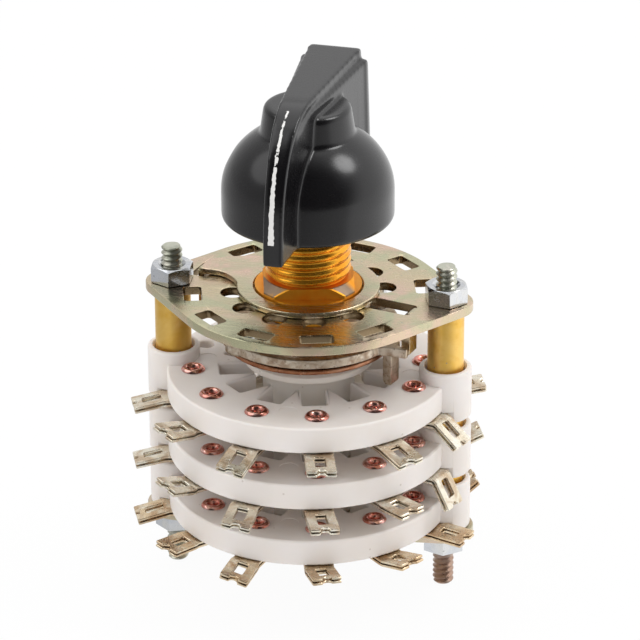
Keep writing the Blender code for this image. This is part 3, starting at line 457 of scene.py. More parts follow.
def polar(radius, degrees):
    angle = math.radians(degrees)
    return Vector((radius * math.cos(angle), radius * math.sin(angle)))


def arc(centre, radius, start, end, steps):
    """Points on an arc, both ends included."""
    turn = (end - start) / steps
    return [Vector(centre) + polar(radius, start + turn * i) for i in range(steps + 1)]


def circle(centre, radius, steps):
    return arc(centre, radius, 0, 360, steps)[:-1]


def turned_round(points, degrees):
    turn = Matrix.Rotation(math.radians(degrees), 2)
    return [turn @ Vector(point) for point in points]


def belt(middle_r, end_r, at, steps):
    """The outline round a middle circle and two end circles at +X and -X."""
    touch = math.degrees(math.acos((middle_r - end_r) / at))
    right = arc((at, 0), end_r, -touch, touch, steps)
    back = arc((0, 0), middle_r, touch, 180 - touch, 3 * steps)
    left = arc((-at, 0), end_r, 180 - touch, 180 + touch, steps)
    return right + back + left + arc((0, 0), middle_r, 180 + touch, 360 - touch, 3 * steps)


def rounded_slot(at, long, wide, degrees, corner):
    """A slot with round corners, its long side tangential, at a radius and an angle."""
    points = []
    for side_x, side_y, start in ((1, 1, 0), (-1, 1, 90), (-1, -1, 180), (1, -1, 270)):
        centre = (at + side_x * (wide / 2 - corner), side_y * (long / 2 - corner))
        points += arc(centre, corner, start, start + 90, 4)
    return turned_round(points, degrees)


def curve(corner, before, after, reach, steps):
    """The points that round a corner between two sides."""
    start, end = corner + before.normalized() * reach, corner + after.normalized() * reach
    shares = [step / steps for step in range(steps + 1)]
    return [start * (1 - share) ** 2 + corner * 2 * share * (1 - share) + end * share**2 for share in shares]


def softened(ring, radius, steps=3):
    """An outline with each of its sharp corners rounded."""
    ring = [Vector(point) for point in ring]
    points = []
    for i, corner in enumerate(ring):
        before, after = ring[i - 1] - corner, ring[(i + 1) % len(ring)] - corner
        turn = before.angle(after)
        if turn > math.radians(160):
            points.append(corner)
            continue
        reach = min(radius / math.tan(turn / 2), 0.45 * before.length, 0.45 * after.length)
        points += curve(corner, before, after, reach, steps)
    return points


def flatted(radius, flats, steps=12):
    """A circle with two flats across Y."""
    cut = math.degrees(math.asin(flats / 2 / radius))
    return arc((0, 0), radius, -cut, cut, steps) + arc((0, 0), radius, 180 - cut, 180 + cut, steps)


def hexagon(flats):
    return [polar(flats / 2 / math.cos(math.pi / 6), 60 * i) for i in range(6)]


def anticlockwise(ring):
    area = sum(a[0] * b[1] - b[0] * a[1] for a, b in zip(ring, ring[1:] + ring[:1]))
    return ring if area > 0 else ring[::-1]


def mitred(ring, inset):
    """An outline moved to its left, with its corners mitred."""
    moved = []
    for i, point in enumerate(ring):
        before = (point - ring[i - 1]).normalized()
        after = (ring[(i + 1) % len(ring)] - point).normalized()
        left = Vector((-before.y - after.y, before.x + after.x))
        moved.append(point + left * (inset / max(0.4, 1 + before.dot(after))))
    return moved


def pressed(outline, holes, low, high, edge, steps=2):
    """A sheet between two heights, its outline and holes rounded over at both faces."""
    leans = [math.pi / 2 * i / steps for i in range(steps + 1)]
    sections = [(edge * (1 - math.sin(lean)), low + edge * (1 - math.cos(lean))) for lean in leans]
    sections += [(edge * (1 - math.sin(lean)), high - edge * (1 - math.cos(lean))) for lean in leans[::-1]]
    solid = bmesh.new()
    order = solid.verts.layers.int.new("order")
    low_rim, high_rim = [], []
    for i, ring in enumerate([outline, *holes]):
        ring = anticlockwise([Vector(point) for point in ring])
        ring = ring[::-1] if i else ring
        corners = [solid.verts.new((*point, low)) for point in mitred(ring, edge)]
        for place, corner in enumerate(corners):
            corner[order] = place
        edges = [solid.edges.new((corners[k - 1], corners[k])) for k in range(len(corners))]
        low_rim += edges
        for inset, height in sections[1:]:
            path = mitred(ring, inset)
            made = bmesh.ops.extrude_edge_only(solid, edges=edges)["geom"]
            fresh = {item for item in made if isinstance(item, bmesh.types.BMVert)}
            for corner in fresh:
                corner.co = (*path[corner[order]], height)
            edges = [e for e in made if isinstance(e, bmesh.types.BMEdge) and fresh.issuperset(e.verts)]
        high_rim += edges
    slant = about_z(FILL_SLANT)
    solid.transform(slant)
    for rim in (low_rim, high_rim):
        bmesh.ops.triangle_fill(solid, edges=rim, use_beauty=True, use_dissolve=False, normal=(0, 0, 1))
    solid.transform(slant.inverted())
    solid.verts.layers.int.remove(order)
    return solid


def across(profile, half, edge):
    """An outline in X and Z as a bar along Y, its edges rounded."""
    solid = pressed(profile, [], -half, half, edge)
    solid.transform(Matrix.Rotation(math.pi / 2, 4, "X"))
    return solid


def spun(profile, steps, closed=True):
    """A profile of (radius, height) points spun about Z. An open one starts and ends on the axis."""
    solid = bmesh.new()
    points = [solid.verts.new((radius, 0, height)) for radius, height in profile]
    pairs = list(zip(points, points[1:] + points[:1]))
    edges = [solid.edges.new(pair) for pair in (pairs if closed else pairs[:-1])]
    upright = {"axis": (0, 0, 1), "cent": (0, 0, 0)}
    bmesh.ops.spin(solid, geom=points + edges, angle=math.tau, steps=steps, use_merge=True, **upright)
    return solid


def rounded(profile, radii, steps=4):
    """A closed profile, its corners rounded by the radii given in its own order (0 keeps a corner)."""
    ring = [Vector(point) for point in profile]
    points = []
    for i, (corner, radius) in enumerate(zip(ring, radii)):
        before, after = ring[i - 1] - corner, ring[(i + 1) % len(ring)] - corner
        reach = radius / math.tan(before.angle(after) / 2)
        points += curve(corner, before, after, reach, steps) if radius else [corner]
    return [tuple(point) for point in points]


def threaded(radius, pitch, depth, low, high, chamfer, low_chamfer, steps, points):
    """A thread between two heights, chamfered, cut off square and open at both ends.

    It has so many steps to a turn, and points to a pitch.
    """
    solid = bmesh.new()
    count = math.ceil((high - low) / pitch) + 3
    corners = []
    for i in range(count * points + 1):
        wave = 0.5 + 0.5 * math.cos(math.tau * i / points)
        corners.append(solid.verts.new((radius - depth * wave, 0, low - 2 * pitch + pitch * i / points)))
    edges = [solid.edges.new(pair) for pair in zip(corners, corners[1:])]
    upright = {"axis": (0, 0, 1), "cent": (0, 0, 0)}
    rise = (0, 0, pitch / steps)
    bmesh.ops.spin(solid, geom=corners + edges, angle=math.tau, steps=steps, dvec=rise, **upright)
    bmesh.ops.remove_doubles(solid, verts=solid.verts, dist=WELD)
    for corner in solid.verts:
        far = corner.co.xy.length
        most = radius - max(0.0, corner.co.z - (high - chamfer), (low + low_chamfer) - corner.co.z)
        if far > most > 0:
            corner.co.xy *= most / far
    for height, up in ((high, 1), (low, -1)):
        geometry = solid.verts[:] + solid.edges[:] + solid.faces[:]
        plane = {"plane_co": (0, 0, height), "plane_no": (0, 0, up)}
        bmesh.ops.bisect_plane(solid, geom=geometry, dist=WELD / 10, clear_outer=True, **plane)
    return solid


def rim_edges(solid, height):
    """The open edges of a shape at a height."""
    return [e for e in solid.edges if e.is_boundary and all(abs(v.co.z - height) < WELD for v in e.verts)]


def evaluated(made):
    """The mesh that an object's modifiers give."""
    bpy.context.view_layer.update()
    solid = bmesh.new()
    solid.from_mesh(made.evaluated_get(bpy.context.evaluated_depsgraph_get()).to_mesh())
    return solid


def carved(base, *steps):
    """The mesh that a chain of Booleans leaves. Each step is an operation and a bmesh."""
    carrier = new_object("carving", mesh_of(base, "carving"))
    tools = []
    for operation, solid in steps:
        tool = new_object("tool", mesh_of(solid, "tool"))
        tools.append(tool)
        change = carrier.modifiers.new(operation, "BOOLEAN")
        change.operation = operation
        change.solver = "EXACT"
        change.object = tool
    solid = evaluated(carrier)
    for used in [carrier, *tools]:
        bpy.data.objects.remove(used)
    return solid


def mesh_of(solid, name):
    """Turns a shape into a mesh, its doubles merged and its normals outward."""
    bmesh.ops.remove_doubles(solid, verts=solid.verts, dist=WELD / 10)
    bmesh.ops.recalc_face_normals(solid, faces=solid.faces)
    mesh = bpy.data.meshes.new(name)
    solid.to_mesh(mesh)
    solid.free()
    return mesh


def piece(name, solid, slot, body, *nodes, sharp=40.0, move=None, look=None, flat_faces=True):
    """Finishes a shape as one named piece that rides on a body and stands for the CAD nodes named."""
    if move:
        solid.transform(move)
    mesh = solid if isinstance(solid, bpy.types.Mesh) else mesh_of(solid, name)
    mesh.materials.clear()
    mesh.materials.append(LOOKS[look or slot])
    mesh.shade_smooth()
    if sharp:
        mesh.set_sharp_from_angle(angle=math.radians(sharp))
    made = new_object(name, mesh)
    if flat_faces:
        even = made.modifiers.new("flat_faces", "WEIGHTED_NORMAL")
        even.keep_sharp = True
    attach(made, body)
    if nodes:
        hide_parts(*nodes)
    return made


# ---- finishes ----


def blend(tree, factor, low, high):
    """A colour between two others. Each is a socket or a colour."""
    low, high = ((*value, 1) if isinstance(value, tuple) else value for value in (low, high))
    return add_node(tree, "Mix", {"Factor": factor, 6: low, 7: high}, data_type="RGBA").outputs[2]


def noise(tree, place, scale, detail, rough, bend=0.0):
    values = {"Vector": place, "Scale": scale, "Detail": detail, "Roughness": rough, "Distortion": bend}
    return add_node(tree, "TexNoise", values).outputs["Fac"]


def grain(tree, given):
    """Even fine grain: a height for bump, and a mask for roughness."""
    yield noise(tree, given["Place"], given["Scale"], 5.0, 0.6)
    yield noise(tree, given["Place"], given["Blotch Scale"], 3.0, 0.55)


def mottle(tree, given):
    """The patchy colours of a chromated or plated sheet: three colours that run into each other."""
    first = noise(tree, given["Place"], given["Scale"], 4.0, 0.6, 0.8)
    aside = add_node(tree, "VectorMath", {0: given["Place"], 1: MOTTLE_SHIFT}, operation="ADD").outputs[0]
    second = noise(tree, aside, given["Scale"], 3.0, 0.6, 0.6)
    colour = blend(tree, spread(tree, first, 0.42, 0.66), given["Main"], given["Second"])
    yield blend(tree, spread(tree, second, 0.45, 0.62), colour, given["Third"])


def specks(tree, given):
    """Small separate specks, such as pits, dust or chips in a plating."""
    values = {"Vector": given["Place"], "Scale": given["Scale"], "Randomness": 1.0}
    cells = add_node(tree, "TexVoronoi", values).outputs
    pick = add_node(tree, "SeparateColor", {0: cells["Color"]}).outputs[0]
    shape = calc(tree, "LESS_THAN", cells["Distance"], given["Size"])
    yield calc(tree, "MULTIPLY", shape, calc(tree, "LESS_THAN", pick, given["Share"]))


def scuffs(tree, given):
    """Short hair scratches in two directions, as a mask."""
    half = calc(tree, "MULTIPLY", given["Share"], SCRATCH_HALF)
    lines = []
    for turn in SCRATCH_TURNS:
        values = {"Vector": given["Place"], "Rotation": (0.3, 0.2, turn), "Scale": SCRATCH_STRETCH}
        stretched = add_node(tree, "Mapping", values).outputs[0]
        off = calc(tree, "SUBTRACT", noise(tree, stretched, given["Scale"], 2.0, 0.5), 0.5)
        lines.append(calc(tree, "LESS_THAN", calc(tree, "ABSOLUTE", off), half))
    yield calc(tree, "MAXIMUM", *lines)


def shared(name, make, inputs, outputs=("Mask",), kind="Float"):
    """A shader group with named sockets, filled by one of the functions above."""
    tree = bpy.data.node_groups.new(name, "ShaderNodeTree")
    for label, value in {"Place": (0, 0, 0), **inputs}.items():
        sort = "Float" if isinstance(value, float) else "Color" if len(value) == 4 else "Vector"
        socket = tree.interface.new_socket(label, in_out="INPUT", socket_type="NodeSocket" + sort)
        socket.default_value = value
    for label in outputs:
        tree.interface.new_socket(label, in_out="OUTPUT", socket_type="NodeSocket" + kind)
    start, end = (tree.nodes.new(side) for side in ("NodeGroupInput", "NodeGroupOutput"))
    for label, socket in zip(outputs, make(tree, start.outputs)):
        tree.links.new(socket, end.inputs[label])
    return tree


def effect(tree, kind, place, **values):
    """Places one of the shared effects in a material."""
    values = {key.replace("_", " ").title(): value for key, value in values.items()}
    return add_node(tree, "Group", {"Place": place, **values}, node_tree=EFFECTS[kind]).outputs


def new_finish(name, **settings):
    """A material with a Principled shader, its settings, and the Object coordinates."""
    made = bpy.data.materials.new(name)
    made.use_nodes = True
    tree = made.node_tree
    shader = tree.nodes["Principled BSDF"]
    for key, value in settings.items():
        shader.inputs[key.replace("_", " ")].default_value = value
    return made, tree, shader, add_node(tree, "TexCoord").outputs["Object"]


def connect(tree, shader, colour, gloss, height, depth):
    """Gives a shader its colour, its roughness, and its relief of a depth in millimetres."""
    relief = add_node(tree, "Bump", {"Strength": 1.0, "Distance": depth * MM, "Height": height}).outputs[0]
    for name, socket in (("Base Color", colour), ("Roughness", gloss), ("Normal", relief)):
        tree.links.new(socket, shader.inputs[name])


def gloss_of(tree, grains, roughness, dull, scratched, change):
    """An uneven roughness, raised by the scratches."""
    gloss = spread(tree, grains["Blotches"], 0.3, 0.7, roughness, roughness + dull)
    return calc(tree, "ADD", gloss, calc(tree, "MULTIPLY", scratched, change))


def mottled(tree, place, colours, scale):
    """Three colours of a plating that run into each other."""
    main, second, third = ((*colour, 1) for colour in colours)
    return effect(tree, "mottle", place, scale=scale, main=main, second=second, third=third)[0]


def plated(name, colours, roughness, patches=180.0, dull=0.12, pits=(0.3, 0.3, 0.3), pit_share=0.2,
           depth=0.006, low_colours=None, walls=False):
    """Plated or bright metal: patchy colour, uneven gloss, pits, hair scratches and fine grain.

    The low colours are those below the top of the last wafer, and walls paints shade into the cut holes of
    the plate.
    """
    made, tree, shader, place = new_finish(name, Metallic=1.0, Specular_IOR_Level=0.5)
    colour = mottled(tree, place, colours, patches)
    if low_colours:
        low = calc(tree, "LESS_THAN", radius_and_spot(tree, place)[3], LAST_WAFER_TOP)
        colour = blend(tree, low, colour, mottled(tree, place, low_colours, patches))
    if walls:
        # painted shade: the hole walls are darkened to brown for the shade inside the holes
        colour = blend(tree, hole_wall_shade(tree, place), colour, WALL_SHADE_BROWN)
    grains = effect(tree, "grain", place, scale=2600.0, blotch_scale=patches * 1.7)
    pitted = effect(tree, "specks", place, scale=1100.0, size=0.14, share=pit_share)[0]
    scratched = effect(tree, "scuffs", place, scale=650.0, share=0.05)[0]
    colour = blend(tree, calc(tree, "MULTIPLY", pitted, 0.6), colour, pits)
    height = calc(tree, "SUBTRACT", grains["Height"], calc(tree, "MULTIPLY", scratched, 0.6))
    connect(tree, shader, colour, gloss_of(tree, grains, roughness, dull, scratched, 0.15), height, depth)
    return made


def radius_and_spot(tree, place):
    """The distance from the shaft's axis, and the three coordinates."""
    flat = add_node(tree, "VectorMath", {0: place, 1: (1, 1, 0)}, operation="MULTIPLY").outputs[0]
    length = add_node(tree, "VectorMath", {0: flat}, operation="LENGTH").outputs["Value"]
    return length, *add_node(tree, "SeparateXYZ", {0: place}).outputs


def hole_wall_shade(tree, place):
    """A mask of the cut walls of the mounting plate's holes, where shade is painted."""
    radius, _, _, height = radius_and_spot(tree, place)
    inside = calc(tree, "LESS_THAN", radius, PLATE_R - MM)
    above = calc(tree, "GREATER_THAN", height, PLATE_LOW + WALL_MARGIN)
    below = calc(tree, "LESS_THAN", height, PLATE_TOP - WALL_MARGIN)
    return calc(tree, "MULTIPLY", inside, calc(tree, "MULTIPLY", above, below))


def moulded_white(name, colour, warm, roughness):
    """Off-white glass-filled moulding: slightly cloudy, with faint specks."""
    made, tree, shader, place = new_finish(name, Subsurface_Weight=0.12, Subsurface_Scale=0.6 * MM)
    shader.inputs["Subsurface Radius"].default_value = (1.0, 0.75, 0.55)
    grains = effect(tree, "grain", place, scale=1900.0, blotch_scale=140.0)
    dust = effect(tree, "specks", place, scale=520.0, size=0.09, share=0.22)[0]
    scratched = effect(tree, "scuffs", place, scale=420.0, share=0.03)[0]
    tone = blend(tree, spread(tree, grains["Blotches"], 0.35, 0.65), colour, warm)
    tone = blend(tree, calc(tree, "MULTIPLY", dust, 0.35), tone, DUST_BROWN)
    gloss = gloss_of(tree, grains, roughness, 0.1, scratched, 0.12)
    connect(tree, shader, tone, gloss, grains["Height"], 0.008)
    return made


def threaded_gold():
    """Gold-lacquered brass, grey on the collar's front corners: the lacquer rubbed off, and a painted
    reflection of the bright surroundings.
    """
    made, tree, shader, place = new_finish("brass_gold", Metallic=0.88)
    grains = effect(tree, "grain", place, scale=2200.0, blotch_scale=350.0)
    scratched = effect(tree, "scuffs", place, scale=700.0, share=0.05)[0]
    radius, _, along_y, height = radius_and_spot(tree, place)
    colour = blend(tree, spread(tree, grains["Blotches"], 0.4, 0.65), GOLD, GOLD_DEEP)
    # Grey on the chamfer's front corners, on the camera's side: lacquer rubbed off, and a painted reflection
    # of the bright surroundings.
    wear_and_reflection = spread(tree, grains["Blotches"], 0.35, 0.45, 0.6, 0.9)
    cone = COLLAR_R + COLLAR_TOP - COLLAR_CHAMFER
    ahead = dot(tree, place, (*polar(1, COLLAR_FLATS_ANGLE), 0))
    for value, start, end in (
        (ahead, COLLAR_FLATS / 2 - 0.15 * MM, COLLAR_FLATS / 2 - 0.25 * MM),
        (calc(tree, "ADD", radius, height), cone - 0.3 * MM, cone - 0.1 * MM),
        (height, COLLAR_TOP + 0.1 * MM, COLLAR_TOP),
        (along_y, -2.0 * MM, -3.0 * MM),
    ):
        wear_and_reflection = calc(tree, "MULTIPLY", wear_and_reflection, spread(tree, value, start, end))
    colour = blend(tree, wear_and_reflection, colour, GOLD_WEAR_AND_REFLECTION)
    gloss = spread(tree, height, COLLAR_TOP, COLLAR_TOP + 0.3 * MM, COLLAR_GLOSS, THREAD_GLOSS)
    gloss = calc(tree, "ADD", gloss, calc(tree, "MULTIPLY", scratched, 0.12))
    connect(tree, shader, colour, gloss, grains["Height"], 0.006)
    return made


def knob_gloss():
    """Black phenolic moulding with a soft gloss, and a white line down the pointer's nose, its paint partly
    rubbed away.
    """
    made, tree, shader, place = new_finish("knob_black")
    grains = effect(tree, "grain", place, scale=1500.0, blotch_scale=110.0)
    scratched = effect(tree, "scuffs", place, scale=380.0, share=0.012)[0]
    values = {"Vector": place, "Rotation": (0, 0, math.radians(-POINTER_ANGLE))}
    along = add_node(tree, "Mapping", values).outputs[0]
    ahead, aside, height = add_node(tree, "SeparateXYZ", {0: along}).outputs
    off = calc(tree, "ABSOLUTE", calc(tree, "SUBTRACT", aside, LINE_ASIDE))
    half = spread(tree, height, LINE_LOW, LINE_HIGH, LINE_HALF_LOW, LINE_HALF_HIGH)
    wobble = noise(tree, place, 1700.0, 3.0, 0.6)
    half = calc(tree, "ADD", half, spread(tree, wobble, 0.3, 0.7, -LINE_WOBBLE, LINE_WOBBLE))
    left = spread(tree, height, LINE_LOW, LINE_HIGH, LINE_WEAR_LOW, LINE_WEAR_HIGH)
    paint = calc(tree, "LESS_THAN", off, half)
    for limit, operation, value in (
        (noise(tree, place, 640.0, 5.0, 0.65), "GREATER_THAN", left),
        (height, "GREATER_THAN", LINE_LOW),
        (height, "LESS_THAN", LINE_HIGH),
        (ahead, "GREATER_THAN", LINE_AHEAD),
    ):
        paint = calc(tree, "MULTIPLY", paint, calc(tree, operation, limit, value))
    colour = blend(tree, spread(tree, grains["Blotches"], 0.35, 0.65), KNOB_BLACK, KNOB_GREY)
    gloss = gloss_of(tree, grains, KNOB_GLOSS, 0.07, scratched, 0.1)
    gloss = calc(tree, "MAXIMUM", gloss, calc(tree, "MULTIPLY", paint, PAINT_GLOSS))
    bumps = calc(tree, "ADD", grains["Height"], calc(tree, "MULTIPLY", paint, PAINT_RISE))
    connect(tree, shader, blend(tree, paint, colour, LINE_WHITE), gloss, bumps, 0.003)
    return made


MOTTLE_SHIFT = (0.11, 0.07, 0.05)  # in metres, between the two patterns of colour
SCRATCH_TURNS = (0.5, 2.2)
SCRATCH_STRETCH = (0.08, 2.2, 1.0)
SCRATCH_HALF = 0.12
DUST_BROWN = (0.35, 0.27, 0.2)
GOLD = (0.92, 0.43, 0.04)
GOLD_DEEP = (0.88, 0.34, 0.02)
# the grey of bare metal, which also paints the reflection of the bright surroundings on the collar's corners
GOLD_WEAR_AND_REFLECTION = (0.22, 0.185, 0.155)
COLLAR_GLOSS = 0.45
THREAD_GLOSS = 0.17
# painted shade for the walls inside the plate's holes
WALL_SHADE_BROWN = (0.26, 0.19, 0.11)
WALL_MARGIN = 0.12 * MM
KNOB_BLACK = (0.004, 0.0036, 0.0042)
KNOB_GREY = (0.007, 0.0065, 0.0075)
KNOB_GLOSS = 0.16

# The pointer's white line
LINE_WHITE = (0.78, 0.77, 0.75)
LINE_LOW = 13.6 * MM
LINE_HIGH = 29.4 * MM
LINE_HALF_LOW = 0.42 * MM
LINE_HALF_HIGH = 0.12 * MM
LINE_WOBBLE = 0.09 * MM
LINE_ASIDE = -0.2 * MM
LINE_AHEAD = 6 * MM  # the line is only on this side of the axis
LINE_WEAR_LOW = 0.22
LINE_WEAR_HIGH = 0.42
PAINT_GLOSS = 0.6
PAINT_RISE = 6.0

# Three colours of each plating
ZINC_OLIVE = ((0.61, 0.51, 0.34), (0.70, 0.50, 0.40), (0.52, 0.505, 0.33))
ZINC_BLUE = ((0.62, 0.64, 0.68), (0.56, 0.58, 0.61), (0.66, 0.66, 0.65))
STRAP_OLIVE = ((0.57, 0.49, 0.35), (0.64, 0.48, 0.40), (0.52, 0.48, 0.34))
# the index disc's grainy plating colours, partly painted shade: darkened for the shade the disc lies in under
# the plate
DISC_BROWN_AND_SHADE = ((0.54, 0.44, 0.33), (0.34, 0.24, 0.17), (0.64, 0.56, 0.46))
DISC_PITS = (0.18, 0.12, 0.07)
LUG_PITS = (0.38, 0.27, 0.16)
SCREW_GREEN = ((0.52, 0.53, 0.44), (0.42, 0.43, 0.35), (0.60, 0.58, 0.50))
SCREW_COPPER = ((0.45, 0.31, 0.24), (0.36, 0.23, 0.17), (0.52, 0.42, 0.36))
STEEL = ((0.52, 0.51, 0.48), (0.46, 0.44, 0.40), (0.56, 0.55, 0.53))
BALL_STEEL = ((0.62, 0.62, 0.62), (0.6, 0.6, 0.6), (0.64, 0.64, 0.63))
BRASS = ((0.82, 0.51, 0.11), (0.76, 0.44, 0.07), (0.86, 0.57, 0.17))
BRONZE = ((0.42, 0.19, 0.10), (0.30, 0.12, 0.06), (0.50, 0.27, 0.17))
COPPER = ((0.74, 0.33, 0.27), (0.60, 0.21, 0.16), (0.84, 0.52, 0.46))
TINNED = ((0.82, 0.76, 0.62), (0.88, 0.84, 0.74), (0.60, 0.47, 0.33))
BRASSY = ((0.74, 0.58, 0.38), (0.84, 0.76, 0.60), (0.54, 0.37, 0.22))
SILVER = ((0.70, 0.66, 0.56), (0.62, 0.56, 0.46), (0.76, 0.73, 0.66))

GREY = (0.5, 0.5, 0.5, 1)
THREE_COLOURS = {"Main": GREY, "Second": GREY, "Third": GREY}
EFFECTS = {
    "grain": shared("surface_grain", grain, {"Scale": 3000.0, "Blotch Scale": 400.0}, ("Height", "Blotches")),
    "mottle": shared("plating_mottle", mottle, {"Scale": 180.0, **THREE_COLOURS}, ("Color",), "Color"),
    "specks": shared("specks", specks, {"Scale": 900.0, "Size": 0.16, "Share": 0.35}),
    "scuffs": shared("hair_scratches", scuffs, {"Scale": 500.0, "Share": 0.04}),
}
LOOKS = {
    "knob_black": knob_gloss(),
    "brass_gold": threaded_gold(),
    "brass_satin": plated("brass_satin", BRASS, 0.32),
    "zinc_yellow": plated("zinc_yellow", ZINC_OLIVE, 0.19, 130.0, walls=True),
    "zinc_bright": plated("zinc_bright", ZINC_BLUE, 0.13, 260.0, 0.05),
    "steel": plated("steel", STEEL, 0.28),
    "ball_steel": plated("ball_steel", BALL_STEEL, 0.1, dull=0.04),
    "rod_green": plated("rod_green", SCREW_GREEN, 0.3, 300.0),
    "rod_copper": plated("rod_copper", SCREW_GREEN, 0.3, 300.0, low_colours=SCREW_COPPER),
    # painted shade: the index disc's colours are darker for the shade under the plate
    "disc_olive": plated("disc_olive", DISC_BROWN_AND_SHADE, 0.3, 900.0, pits=DISC_PITS, pit_share=0.7, depth=0.02),
    "strap_zinc": plated("strap_zinc", STRAP_OLIVE, 0.26, 170.0),
    "spring_bronze": plated("spring_bronze", BRONZE, 0.22, 420.0),
    "eyelet_copper": plated("eyelet_copper", COPPER, 0.12, 420.0),
    "terminal_tinned": plated("terminal_tinned", TINNED, 0.2, 330.0, 0.14, LUG_PITS, 0.3, low_colours=BRASSY),
    "contact_silver": plated("contact_silver", SILVER, 0.24),
    "wafer_white": moulded_white("wafer_white", (0.85, 0.80, 0.77), (0.83, 0.77, 0.72), 0.34),
    "hub_white": moulded_white("hub_white", (0.83, 0.78, 0.73), (0.80, 0.74, 0.66), 0.4),
    "fibre": moulded_white("fibre", (0.45, 0.26, 0.15), (0.40, 0.22, 0.12), 0.6),
}


# ---- pieces ----


def solid_of(profile, steps, at=(0, 0, 0)):
    """A profile that starts and ends on the axis, spun into a closed solid."""
    solid = spun(profile, steps, closed=False)
    solid.transform(Matrix.Translation(at))
    return solid


def rod_profile(radius, low, high):
    return [(0, low), (radius, low), (radius, high), (0, high)]


def drive_hole():
    """The outline of the hole that the shaft's flats turn."""
    return flatted(SHAFT_R + FIT, SHAFT_FLATS + 2 * FIT)


def side_tab(profile, wide, degrees, edge):
    """A bar across a radius, turned to its angle round the shaft."""
    tab = across(profile, wide / 2, edge)
    tab.transform(about_z(degrees))
    return tab


def mounting_plate():
    """The lens-shaped plate with its slots and detent holes, and the stop tab bent down out of it."""
    outline = belt(PLATE_R, PLATE_END_R, POST_X, 16)
    holes = [circle((0, 0), SPIGOT_R + FIT, 64)]
    holes += [circle((x, 0), ROD_HOLE_R, 28) for _, x in SIDES]
    tab_inner = TAB_AT - PLATE_T / 2
    tab_outer = tab_inner + PLATE_T
    for site in range(SITES):
        angle = FIRST_SITE + SITE_STEP * site
        if angle == STOP_SITE:
            start = DETENT_AT - DETENT_R
            middle = (start + tab_outer) / 2
            holes.append(rounded_slot(middle, DETENT_R * 2, tab_outer - start, angle, STOP_SLOT_CORNER))
        else:
            holes.append(circle(polar(DETENT_AT, angle), DETENT_R, 32))
            slot = PLATE_SLOT_AT, PLATE_SLOT_LONG, PLATE_SLOT_WIDE, angle, PLATE_SLOT_CORNER
            holes.append(rounded_slot(*slot))
    plate = pressed(outline, holes, PLATE_LOW, PLATE_TOP, PLATE_EDGE)
    root = tab_outer + 0.5 * MM
    low, high = PLATE_LOW + TAB_INSET, PLATE_TOP - TAB_INSET
    profile = arc((tab_outer, high - PLATE_T), PLATE_T, 90, 180, 8)
    corners = [(tab_inner, STOPS_LOW), (tab_outer - TAB_BEVEL, STOPS_LOW), (tab_outer, STOPS_LOW + TAB_BEVEL)]
    corners += [(tab_outer, low), (root, low), (root, high)]
    profile += [Vector(corner) for corner in corners]
    tab = side_tab(profile, TAB_WIDE, STOP_SITE, TAB_EDGE)
    piece("plate", carved(plate, ("UNION", tab)), "zinc_yellow", "root", "mounting_plate")


def stop_washer():
    """The washer, whose comma-shaped tail ends in a drop through the plate's slot.

    The tail's edges are pairs: a share of the way out from the ring, and degrees from the last position.
    """
    tail_end = PLATE_SLOT_AT + 0.3 * MM
    width = tail_end - WASHER_R
    ring = arc((0, 0), WASHER_R, LIMIT_SITE + 22, LIMIT_SITE + 313, 90)
    back = [(0.09, -42), (0.3, -29), (0.5, -21.5), (0.66, -16), (0.8, -12), (0.91, -8), (0.98, -6)]
    tail = [polar(WASHER_R + share * width, LIMIT_SITE + turn) for share, turn in back]
    tail += [polar(tail_end, LIMIT_SITE - 5), polar(tail_end, LIMIT_SITE + 5.5)]
    front = [(0.9, 6.3), (0.8, 6.5), (0.65, 6.1), (0.52, 6), (0.38, 7.4), (0.25, 10), (0.15, 13), (0.08, 16)]
    tail += [polar(WASHER_R + share * width, LIMIT_SITE + turn) for share, turn in front]
    keyed = flatted(WASHER_HOLE_R, COLLAR_FLATS + 2 * (WASHER_HOLE_R - COLLAR_R), 28)
    keyed = turned_round(keyed, COLLAR_FLATS_ANGLE - 90)
    washer = pressed(ring + tail, [keyed], -WASHER_T, 0, SHEET_EDGE, 3)
    low, high = tail_end - WASHER_T, tail_end
    drop = [(low, STOPS_LOW), (high, STOPS_LOW), (high, -WASHER_T / 2), (low, -WASHER_T / 2)]
    tab = side_tab(drop, 2 * TAIL_HALF, LIMIT_SITE, TAB_EDGE)
    piece("washer", carved(washer, ("UNION", tab)), "zinc_yellow", "root", "stop_washer")


